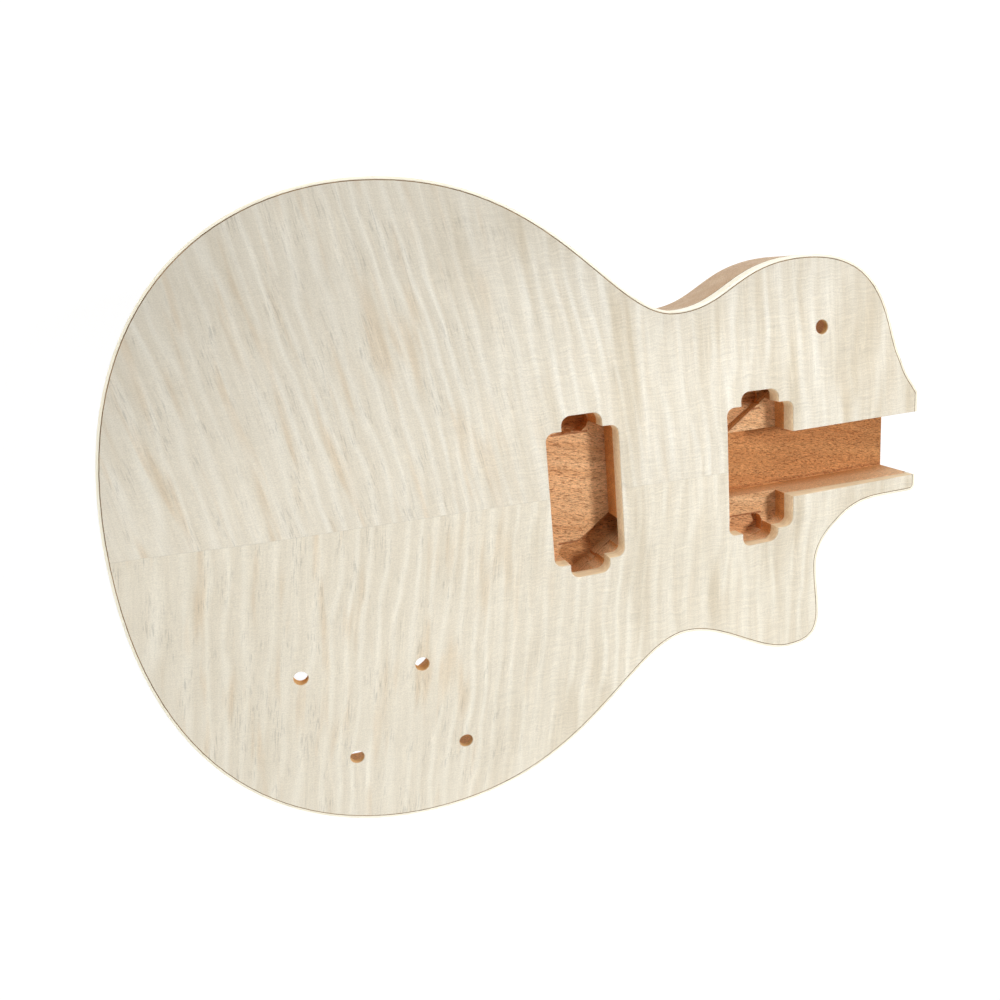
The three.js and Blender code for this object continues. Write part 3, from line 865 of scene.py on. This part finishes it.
def blended(factor, first, second, mode="MIX"):
    """Mixes two colours, or multiplies the first by the second."""
    first, second = (
        value if isinstance(value, Shade) else (*value, 1.0) for value in (first, second)
    )
    inputs = {0: factor, 6: first, 7: second}
    return shaded("ShaderNodeMix", inputs, 2, data_type="RGBA", blend_type=mode)


def new_material(name, specular):
    """A material with its shader, and the place on the object in millimetres."""
    material = bpy.data.materials.new(name)
    material.use_nodes = True
    tree = material.node_tree
    tree.nodes.clear()
    shader = node(tree, "ShaderNodeBsdfPrincipled", {"Specular IOR Level": specular})
    node(tree, "ShaderNodeOutputMaterial", {"Surface": Shade(shader)})
    place = Shade(node(tree, "ShaderNodeTexCoord"), "Object")
    place = shaded("ShaderNodeVectorMath", {0: place, "Scale": 1 / MM}, operation="SCALE")
    return material, shader, place


def brightened(tone, light):
    """Multiplies a colour by a grey."""
    return vector_calc("MULTIPLY", tone, combined(light, light, light))


def paint(shader, tone, roughness, height, distance, strength):
    """Gives the shader its colour, its roughness and its bumps."""
    bump = shaded("ShaderNodeBump", {"Height": height, "Distance": distance, "Strength": strength})
    for key, value in (("Base Color", tone), ("Roughness", roughness), ("Normal", bump)):
        value.tree.links.new(value.socket, shader.inputs[key])


class Leaf:
    """A veneer leaf's own directions: along it, square to the flames, and away from the seam."""

    def __init__(self, scene, place, side):
        layers = scene.gb_layers
        self.side = side
        self.x, self.y, _ = split_up(place)
        self.away = abs(self.y - (self.x * -layers.seam_slope + layers.seam / MM))
        lean = remap(self.x, -70.0, 100.0, 0.175, 0.01, smooth=True)
        first_flame = 191.0 + 1.3 * side
        self.along = lean * self.away + self.x + first_flame
        self.neckward = remap(self.x, -90.0, 20.0, smooth=True)

    def patch(self, length_along, length_away, seed, detail=2.0):
        """Noise in spots of that many millimetres, mirrored at the seam."""
        place = combined(self.along / length_along, self.away / length_away, seed + 0.12 * self.side)
        return noise(place, detail)

    def towards_neck(self, tail, neck):
        """One value in the tail half that goes over into another in the neck half."""
        return remap(self.neckward, 0.0, 1.0, tail, neck)


def flames(leaf):
    """The flames as waves, and how dark the leaf is with them, from 0 to 1."""
    along = leaf.along
    square = along * along
    cycles = square * along * -4.71e-7 + (square * 2.55e-4 + along * 0.08)
    cycles = cycles + about_zero(leaf.patch(52, 130, 1.7), 1.7) + about_zero(leaf.patch(15, 42, 5.3), 0.42)
    waves = wave(cycles * 2.0, 0.9) * 0.38 + wave(cycles)
    fading = remap(leaf.patch(34, 60, 9.1), 0.3, 0.7, 0.35, 1.15)
    streaks = about_zero(leaf.patch(3.4, 75, 12.6, 3.0), 1.9)
    broad = remap(leaf.patch(17, 95, 15.2, 1.0), 0.5, 0.72, smooth=True)
    shade = waves * fading * leaf.towards_neck(0.2, 0.21)
    shade = streaks * leaf.towards_neck(0.13, 0.26) + shade
    shade = broad * leaf.towards_neck(0.08, 0.42) + shade + 0.34
    return waves, shaded("ShaderNodeClamp", {0: shade})


def scratches(leaf):
    """Short dark sanding scratches, in groups."""
    marks = remap(leaf.patch(0.75, 8, 43.0), 0.52, 0.66, 0.0, 0.2)
    groups = remap(leaf.patch(9, 24, 47.0), 0.5, 0.62)
    return marks * groups * leaf.towards_neck(1.0, 0.35)


def growth_lines(leaf):
    """Thin pale lines that run across the flames, fewer at the tail."""
    from_line = abs(leaf.patch(6.5, 110, 31.0) - 0.5)
    lines = remap(from_line, 0.0, 0.03, 0.07, 0.0) * remap(leaf.patch(30, 40, 37.0), 0.4, 0.6)
    return lines * remap(leaf.x, -205.0, -120.0, 0.2, 1.0)


def flamed_material(scene, side):
    """Bookmatched flamed maple: flames that lean from the seam, fine wavy grain and short flecks."""
    finish = scene.gb_finishes
    name = "flamed_maple_" + ("bass" if side > 0 else "treble")
    material, shader, place = new_material(name, 0.3)
    leaf = Leaf(scene, place, side)
    waves, shade = flames(leaf)
    tint = (1.0, 1.0, 1.0) if side > 0 else TREBLE_TINT
    face = [channel * share for channel, share in zip(finish.face, tint)]
    tone = blended(shade, face, finish.flame)
    stains = remap(leaf.patch(7.5, 62, 61.0), 0.52, 0.74, 0.0, 0.8, smooth=True)
    tone = blended(stains * leaf.towards_neck(1.0, 0.25), tone, finish.stain, "MULTIPLY")

    bend = waves * 0.35 + (leaf.y + about_zero(leaf.patch(6, 14, 21.0), 1.6))
    grain = noise(combined(leaf.x / 15.0, bend / 0.95))
    ripple = noise(combined(leaf.along / 0.9, leaf.away / 9.0, 3.0))
    specks = noise(stretched(place, 0.7, 0.45, 1.0), 1.0)
    patches = noise(stretched(place, 85, 60, 80))
    light = (grain - 0.5) * leaf.towards_neck(0.12, 0.34) + 1.0
    light = light + growth_lines(leaf) - scratches(leaf)
    for texture, dark, bright in ((ripple, 0.975, 1.025), (specks, 0.93, 1.07), (patches, 0.98, 1.015)):
        light = light * remap(texture, 0.3, 0.7, dark, bright)
    # Painted shade: the leaf grows darker towards the tail and the bass side, standing in for the lamps'
    # fall-off.
    painted_shade_corner = leaf.x * 0.15 + leaf.y * -1.15
    light = light * remap(painted_shade_corner, -160.0, -50.0, 0.79, 0.965)
    light = light * remap(leaf.away, 0.05, 0.45, 0.93, 1.0, smooth=True)
    roughness = remap(shade, 0.0, 1.0, 0.54, 0.68)
    paint(shader, brightened(tone, light), roughness, grain + ripple, 0.06 * MM, 0.6)
    return material


def cap_material(scene):
    """Plain maple, routed: soft mottling and faint grain, with painted shade round the drilled holes."""
    finish, sizes = scene.gb_finishes, scene.gb_controls
    material, shader, place = new_material("plain_maple", 0.25)
    grain = noise(stretched(place, 30, 1.6, 1.2), 4.0, 0.6)
    mottle = noise(stretched(place, 7, 6, 4), 3.0)
    tone = blended(remap(grain, 0.35, 0.7), finish.cap, finish.cap_dark)
    light = remap(mottle, 0.25, 0.75, 0.92, 1.05) * remap(grain, 0.3, 0.7, 1.04, 0.94)
    flat = vector_calc("MULTIPLY", place, (1.0, 1.0, 0.0))
    # Painted shade: the maple round each drilled hole is multiplied darker and more orange.
    for hole in (sizes.first, sizes.second, sizes.third, sizes.fourth, sizes.switch):
        ends = {0: flat, 1: (hole[0] / MM, hole[1] / MM, 0.0)}
        away = shaded("ShaderNodeVectorMath", ends, "Value", operation="DISTANCE")
        tone = blended(away < sizes.hole_shade_radius / MM, tone, finish.hole_shade, "MULTIPLY")
    roughness = remap(mottle, 0.2, 0.8, 0.6, 0.8)
    paint(shader, brightened(tone, light), roughness, grain + mottle, 0.15 * MM, 0.5)
    return material


def nearest(value, first, second):
    """How far a value in millimetres lies from the nearer of two places."""
    return calc("MINIMUM", abs(value - first / MM), abs(value - second / MM))


def torn_edges(scene, place, fuzz):
    """Where the router tore the wood: at the ear pockets, the wire way and the neck pocket's corner."""
    cavities, controls = scene.gb_cavities, scene.gb_controls
    neck, rim = scene.gb_outline.body / 2, scene.gb_layers.rim
    x, y, height = split_up(place)
    floors = nearest(height, rim - cavities.bridge_depth, rim - cavities.neck_depth) < 0.15
    start, end = Vector(controls.way_start), Vector(controls.way_end)
    across = Vector((start.y - end.y, end.x - start.x)).normalized()
    middle, half = across.dot(start), controls.way_width / 2
    way = nearest(x * across.x + y * across.y, middle - half, middle + half)
    ears = nearest(y, -cavities.ear_inner, cavities.ear_inner)
    along = nearest(x, neck - cavities.bridge_from_neck, neck - cavities.neck_from_neck)
    ears = remap(ears, 0.4, 0.8, 0.8, 0.0) * (along < cavities.torn_half / MM)
    torn = calc("MAXIMUM", remap(way, 0.2, 0.6, 0.8, 0.0), ears) * remap(fuzz, 0.3, 0.5, 0.45, 1.0)
    corner = abs(y + (cavities.pocket_width / 2 - cavities.chip_inset) / MM)
    chips = remap(corner, 0.3, 1.1, 0.85, 0.0) * (height < cavities.chip_height / MM)
    return calc("MAXIMUM", chips * remap(fuzz, 0.47, 0.56), floors * torn)


def mahogany_material(scene, name, offset):
    """Mahogany: long darker bands and short open pores, fuzzy where routed and paler where sanded."""
    finish = scene.gb_finishes
    material, shader, place = new_material("mahogany_" + name, 0.25)
    turn = {"Vector": vector_calc("ADD", place, offset), "Rotation": (0.0, 0.0, math.radians(11))}
    turned = shaded("ShaderNodeMapping", turn)
    warp = about_zero(noise(stretched(turned, 60, 22, 22)), 6.0)
    bent = vector_calc("ADD", turned, combined(0.0, warp))
    bands = remap(noise(stretched(bent, 150, 6, 9), 4.0, 0.6), 0.35, 0.68)
    fibres = noise(stretched(bent, 3.2, 0.62, 0.62), 3.0, 0.6)
    pores = noise(stretched(bent, 2.2, 0.42, 0.42, (11.0, 5.0, 2.0)), 1.0)
    fuzz = noise(stretched(bent, 1.0, 0.5, 0.5, (3.0, 8.0, 1.0)), 2.0, 0.7)
    routed = Shade(node(place.tree, "ShaderNodeAttribute", attribute_name="routed"), "Fac")
    cut = blended(bands, finish.mahogany, finish.mahogany_dark)
    tone = blended(routed, blended(bands, finish.sanded, finish.sanded_dark), cut)
    open_pores = remap(pores, 0.54, 0.68) * remap(routed, 0.0, 1.0, 0.3, 0.62)
    tone = blended(open_pores, tone, finish.pore)
    tone = routed_tone(scene, tone, place, routed)
    tone = blended(torn_edges(scene, place, fuzz) * routed, tone, finish.pore)
    grainy = about_zero(fibres, 0.55) + about_zero(fuzz, 0.6)
    light = grainy * remap(routed, 0.0, 1.0, 0.35, 1.0) + 1.0
    dips = (fibres + fuzz) * 0.4 + remap(pores, 0.58, 0.7, 0.0, -1.0)
    roughness = remap(fibres, 0.3, 0.7, 0.55, 0.75)
    paint(shader, brightened(tone, light), roughness, dips, 0.3 * MM, 0.7)
    return material


def routed_tone(scene, tone, place, routed):
    """End grain's tone, painted light on bass-facing walls and in the electronics cavities, and painted
    shade low down.
    """
    finish = scene.gb_finishes
    _, y, height = split_up(place)
    normal = Shade(node(place.tree, "ShaderNodeNewGeometry"), "True Normal")
    facing_x, facing_y, _ = split_up(normal)
    ends = remap(abs(facing_x), 0.5, 1.0, smooth=True) * routed
    tone = blended(ends, tone, finish.end_grain, "MULTIPLY")
    # Painted light: routed walls that face the bass side are blended towards a paler colour.
    walls = remap(facing_y, 0.5, 1.0, 0.0, 0.65, smooth=True) * routed
    tone = blended(walls, tone, finish.wall)
    # Painted light: the electronics cavities get a paler, warmer colour, and no painted shade below.
    cavity_light = remap(abs(y), 46.0, 48.0)
    tone = blended(cavity_light * routed, tone, finish.cavity_light)
    # Painted shade: the routed wood is multiplied darker the lower it lies, except in the electronics
    # cavities.
    depth_shade = remap(height, 27.0, 15.0) * routed * (1.0 - cavity_light)
    return blended(depth_shade, tone, finish.depth_shade, "MULTIPLY")


def mark_routed(scene, obj):
    """Keeps, on each face, whether a router cut it or the sander has been over it."""
    mesh = obj.data
    centres = np.array([tuple(face.center) for face in mesh.polygons])
    inside = distance_inside(scene, centres[:, :2]) > scene.gb_layers.sanded_edge
    routed = inside & (centres[:, 2] > NEARLY)
    layer = mesh.attributes.new("routed", "FLOAT", "FACE")
    layer.data.foreach_set("value", routed.astype(np.float32))


def binding_material(scene):
    """Cream binding, scraped flush: faint clouds and fine scraper lines."""
    finish = scene.gb_finishes
    material, shader, place = new_material("cream_binding", 0.45)
    clouds = noise(stretched(place, 16, 16, 8), 3.0)
    lines = noise(stretched(place, 2.2, 2.2, 0.25), 3.0)
    warm = [channel * share for channel, share in zip(finish.binding, (0.99, 0.98, 0.95))]
    tone = blended(remap(clouds, 0.35, 0.65), finish.binding, warm)
    light = remap(lines, 0.3, 0.7, 0.985, 1.015)
    roughness = remap(lines, 0.3, 0.7, 0.33, 0.48)
    paint(shader, brightened(tone, light), roughness, lines, 0.04 * MM, 0.5)
    return material


def glue_material(scene):
    """Set glue, dark with sanding dust: uneven from place to place."""
    finish = scene.gb_finishes
    material, shader, place = new_material("glue_line", 0.2)
    dusty = noise(stretched(place, 14, 14, 5), 3.0, 0.6)
    dust = [min(1.0, channel * 1.7) for channel in finish.glue]
    tone = blended(remap(dusty, 0.42, 0.62), finish.glue, dust)
    paint(shader, tone, remap(dusty, 0.3, 0.7, 0.6, 0.8), dusty, 0.05 * MM, 0.5)
    return material


def seen_directly(tree):
    """One where the ray comes from the camera, a reflection or a glass."""
    path = node(tree, "ShaderNodeLightPath")
    seen = calc("MAXIMUM", Shade(path, "Is Camera Ray"), Shade(path, "Is Glossy Ray"))
    return calc("MAXIMUM", seen, Shade(path, "Is Transmission Ray"))


def floor_material(scene):
    """Pale where light falls on it, and white to the camera but for the shadow."""
    finish, studio = scene.gb_finishes, scene.gb_studio
    material = bpy.data.materials.new("floor")
    material.use_nodes = True
    tree = material.node_tree
    tree.nodes.clear()
    plain = Shade(node(tree, "ShaderNodeBsdfDiffuse", {"Color": (*finish.floor, 1.0)}))
    dim = Shade(node(tree, "ShaderNodeBsdfDiffuse", {"Color": (*[studio.floor_dim] * 3, 1.0)}))
    glow = Shade(node(tree, "ShaderNodeEmission", {"Color": WHITE, "Strength": studio.floor_glow}))
    bright = shaded("ShaderNodeAddShader", {0: dim, 1: glow})
    mixed = shaded("ShaderNodeMixShader", {0: seen_directly(tree), 1: plain, 2: bright})
    node(tree, "ShaderNodeOutputMaterial", {"Surface": mixed})
    return material


def studio_world(scene):
    """Plain white to the camera, and to the body pale walls under a dark ceiling."""
    studio = scene.gb_studio
    world = bpy.data.worlds.new("studio")
    world.use_nodes = True
    tree = world.node_tree
    tree.nodes.clear()
    x, y, height = split_up(Shade(node(tree, "ShaderNodeTexCoord"), "Generated"))
    level = remap(height, 0.0, 0.5, studio.low_fill, studio.high_fill, smooth=True)
    level = level * remap(height, -0.25, -0.07, 0.45, 1.0)
    tail_and_bass = x * -0.8 + y * 0.6
    level = level * (tail_and_bass * studio.near_fill + 1.0)
    fill = Shade(node(tree, "ShaderNodeBackground", {"Color": WHITE, "Strength": level}))
    white = Shade(node(tree, "ShaderNodeBackground", {"Color": WHITE, "Strength": 1.0}))
    mixed = shaded("ShaderNodeMixShader", {0: seen_directly(tree), 1: fill, 2: white})
    node(tree, "ShaderNodeOutputWorld", {"Surface": mixed})
    return world


def finished(obj, name, material, nodes, angle=32.0):
    """Names a piece, gives it its finish, puts it under the root body and hides the frame pieces it stands
    for.
    """
    obj.name = name
    obj.data.name = name
    obj.data.materials.clear()
    obj.data.materials.append(material)
    activate(obj)
    bpy.ops.object.shade_smooth_by_angle(angle=math.radians(angle))
    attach(obj, "root")
    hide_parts(*nodes)
    return obj


# Operators

class GB_OT_back(bpy.types.Operator):
    """Models the mahogany back: a rounded slab with every cavity, cut into three boards"""

    bl_idname = "guitar_body.back"
    bl_label = "Back boards"

    def execute(self, context):
        scene = context.scene
        layers, controls = scene.gb_layers, scene.gb_controls
        ledge = layers.rim - layers.binding_height - layers.under_glue
        radius = layers.roundover
        obj = outline_slab(scene, "back", 0, radius, ledge)
        start_edit(obj)
        pick(obj, "faces", lambda face: face.normal.z > 0.9)
        bpy.ops.mesh.inset(thickness=layers.binding_width + layers.ledge_gap, use_even_offset=True)
        raise_selection(layers.cap_bottom - ledge)
        pick(obj, "faces", lambda face: face.normal.z < -0.9)
        steps = [math.radians(angle) for angle in range(0, 91, 15)]
        for before, after in zip(steps, steps[1:]):
            inwards = radius * (math.cos(before) - math.cos(after))
            raise_selection(-radius * (math.sin(after) - math.sin(before)))
            spread_selection(obj, lambda place: -inwards * float(
                smoothstep(scene.gb_outline.body / 2 - place.x, 0, layers.roundover_fade)
            ))
        end_edit()
        tidy_normals(obj)
        above = layers.rim + OVERRUN
        boolean(obj, open_cutter(scene, above))
        boolean(obj, hidden_cutter(scene, 0, -OVERRUN, controls.ceiling))
        boolean(obj, hidden_cutter(scene, controls.ledge, -OVERRUN, controls.ledge_depth))
        boolean(obj, wire_cutter(scene, above))
        boolean(obj, jack_cutter(scene))
        half = layers.centre_board / 2
        cuts = {
            "bass": [((0, half, 0), (0, -1, 0))],
            "centre": [((0, half, 0), (0, 1, 0)), ((0, -half, 0), (0, -1, 0))],
            "treble": [((0, -half, 0), (0, 1, 0))],
        }
        offsets = {"bass": (40.0, 13.0, 5.0), "centre": (0.0, 0.0, 0.0), "treble": (-70.0, 31.0, 17.0)}
        for name, planes in cuts.items():
            board = copy_of(obj, "back_" + name)
            for point, normal in planes:
                bisected(board, point, normal)
            material = mahogany_material(scene, name, offsets[name])
            mark_routed(scene, board)
            finished(board, "back_" + name, material, ["back_board_" + name])
        bpy.data.objects.remove(obj)
        return {"FINISHED"}


class GB_OT_cap(bpy.types.Operator):
    """Models the plain maple cap under the veneer, as two boards"""

    bl_idname = "guitar_body.cap"
    bl_label = "Cap boards"

    def execute(self, context):
        scene = context.scene
        layers = scene.gb_layers
        flat = layers.rim + layers.carve_reach
        above = flat + OVERRUN
        inset = layers.binding_width + layers.ledge_gap
        obj = gridded_slab(scene, layers.cap_grid, layers.cap_bottom, flat)
        boolean(obj, outline_slab(scene, "limit", inset, -OVERRUN, above), "INTERSECT")
        boolean(obj, open_cutter(scene, above))
        boolean(obj, hidden_cutter(scene, 0, -OVERRUN, scene.gb_controls.ceiling))
        for tool in hole_cutters(scene, layers.cap_bottom - OVERRUN, above):
            boolean(obj, tool)
        carve(scene, obj, flat, layers.veneer + layers.cap_gap)
        material = cap_material(scene)
        for name, side in (("bass", 1), ("treble", -1)):
            board = copy_of(obj, "cap_" + name)
            bisected(board, (0, 0, 0), (0, -side, 0))
            finished(board, "cap_" + name, material, ["cap_board_" + name])
        bpy.data.objects.remove(obj)
        return {"FINISHED"}


class GB_OT_veneer(bpy.types.Operator):
    """Models the two figured leaves of the face"""

    bl_idname = "guitar_body.veneer"
    bl_label = "Veneer leaves"

    def execute(self, context):
        scene = context.scene
        layers = scene.gb_layers
        flat = layers.rim
        above = flat + OVERRUN
        obj = gridded_slab(scene, layers.veneer_grid, flat - layers.veneer, flat)
        inset = layers.binding_width + layers.glue
        boolean(obj, outline_slab(scene, "limit", inset, -OVERRUN, above), "INTERSECT")
        lip = scene.gb_cavities.lip
        boolean(obj, flare(open_cutter(scene, above), flat, lip))
        for tool in hole_cutters(scene, flat - OVERRUN, above):
            boolean(obj, flare(tool, flat, lip))
        carve(scene, obj, flat)
        for name, side in (("bass", 1), ("treble", -1)):
            leaf = copy_of(obj, "veneer_" + name)
            bisected(leaf, (0, layers.seam, 0), (-side * layers.seam_slope, -side, 0))
            material = flamed_material(scene, side)
            finished(leaf, "veneer_" + name, material, ["veneer_leaf_" + name])
        bpy.data.objects.remove(obj)
        return {"FINISHED"}


class GB_OT_binding(bpy.types.Operator):
    """Models the cream binding: a ring round the rim, cut into three strips"""

    bl_idname = "guitar_body.binding"
    bl_label = "Binding strips"

    def execute(self, context):
        scene = context.scene
        layers, outline = scene.gb_layers, scene.gb_outline
        flat = layers.rim
        low = flat - layers.binding_height
        obj = outline_ring(scene, "binding", 0, layers.binding_width, low, flat)
        start_edit(obj, "EDGE")
        pick(obj, "edges", lambda edge: (
            min(vert.co.z for vert in edge.verts) > flat - NEARLY and edge.calc_face_angle(0) > SHARP
        ))
        bpy.ops.mesh.bevel(offset=layers.binding_edge, segments=2, affect="EDGES", clamp_overlap=True)
        end_edit()
        carve(scene, obj, flat)
        above = flat + OVERRUN
        boolean(obj, pocket_cutter(scene, above))
        glue = self.glue_lines(scene, flat, low)
        boolean(glue, pocket_cutter(scene, above))
        material = binding_material(scene)
        glue_look = glue_material(scene)
        join_x = outline.body / 2 - outline.treble_from_neck
        join_y = -outline.horn_half
        half = layers.binding_gap
        far = outline.body
        blocks = {
            "bass": [(-far, far, half, far)],
            "treble": [(-far, join_x, -far, -half), (join_x - OVERLAP, far, -far, join_y - half)],
            "cutaway": [(join_x, far, join_y + half, -half)],
        }
        for name, spans in blocks.items():
            tools = [
                rounded_block((a + b) / 2, (c + d) / 2, b - a, d - c, 0, -far, far)
                for a, b, c, d in spans
            ]
            limit = united(tools)
            line = copy_of(glue, "glue_" + name)
            boolean(line, limit, "INTERSECT", keep_tool=True)
            line.data.materials.clear()
            line.data.materials.append(glue_look)
            strip = copy_of(obj, "binding_" + name)
            boolean(strip, limit, "INTERSECT")
            finished(strip, "edge_binding_" + name, material, ["binding_" + name])
            activate(strip)
            line.select_set(True)
            bpy.ops.object.join()
        bpy.data.objects.remove(glue)
        bpy.data.objects.remove(obj)
        return {"FINISHED"}

    @staticmethod
    def glue_lines(scene, flat, low):
        """The line between the binding and the veneer, and the one under the binding."""
        layers = scene.gb_layers
        inner = outline_ring(
            scene, "glue", layers.binding_width, layers.glue, flat - layers.glue_depth, flat
        )
        carve(scene, inner, flat, layers.glue_sunk)
        under = outline_ring(
            scene, "glue", layers.glue_inset, layers.binding_width, low - layers.under_glue, low
        )
        return united([inner, under])


class GB_OT_studio(bpy.types.Operator):
    """Sets the camera, the floor, the soft key light and the even fill"""

    bl_idname = "guitar_body.studio"
    bl_label = "Studio"

    def execute(self, context):
        scene = context.scene
        settings = scene.gb_studio
        bpy.ops.object.camera_add()
        camera = context.object
        right, up = Vector(settings.camera_right), Vector(settings.camera_up)
        back = right.cross(up)
        place = Vector(settings.camera_place)
        turn = Matrix((right, up, back)).transposed().to_4x4()
        camera.matrix_world = Matrix.Translation(place) @ turn
        camera.data.lens = settings.lens
        camera.data.sensor_width = settings.sensor
        camera.data.clip_start = settings.nearest_drawn
        scene.camera = camera

        for place, size, power in (
            (settings.key_place, settings.key_size, settings.key_power),
            (settings.treble_place, settings.side_size, settings.treble_power),
            (settings.bass_place, settings.side_size, settings.bass_power),
        ):
            bpy.ops.object.light_add(type="AREA", location=place)
            lamp = context.object
            lamp.rotation_euler = (-Vector(place)).to_track_quat("-Z", "Y").to_euler()
            lamp.data.shape = "DISK"
            lamp.data.size = size
            lamp.data.energy = power

        bpy.ops.mesh.primitive_plane_add(size=settings.floor_size)
        floor = context.object
        floor.name = "floor"
        floor.location = (0, 0, -settings.floor_drop)
        floor.data.materials.append(floor_material(scene))
        scene.world = studio_world(scene)
        scene.view_settings.view_transform = "Standard"
        return {"FINISHED"}


OPERATORS = (GB_OT_back, GB_OT_cap, GB_OT_veneer, GB_OT_binding, GB_OT_studio)


class GB_PT_panel(bpy.types.Panel):
    """Lists the pieces and the sizes"""

    bl_label = "Guitar Body"
    bl_idname = "GB_PT_panel"
    bl_space_type = "VIEW_3D"
    bl_region_type = "UI"
    bl_category = "Guitar Body"

    def draw(self, context):
        for operator in OPERATORS:
            self.layout.operator(operator.bl_idname)
        for key, group in GROUPS.items():
            box = self.layout.box()
            box.label(text=group.__doc__)
            settings = getattr(context.scene, key)
            for name in group.__annotations__:
                box.prop(settings, name)


def register():
    for group in GROUPS.values():
        bpy.utils.register_class(group)
    for key, group in GROUPS.items():
        setattr(bpy.types.Scene, key, PointerProperty(type=group))
    for made in (*OPERATORS, GB_PT_panel):
        bpy.utils.register_class(made)


def unregister():
    for made in (GB_PT_panel, *reversed(OPERATORS)):
        bpy.utils.unregister_class(made)
    for key, group in GROUPS.items():
        delattr(bpy.types.Scene, key)
        bpy.utils.unregister_class(group)


def main():
    register()
    bpy.ops.guitar_body.studio()
    bpy.ops.guitar_body.back()
    bpy.ops.guitar_body.cap()
    bpy.ops.guitar_body.veneer()
    bpy.ops.guitar_body.binding()


if __name__ == "__main__":
    main()
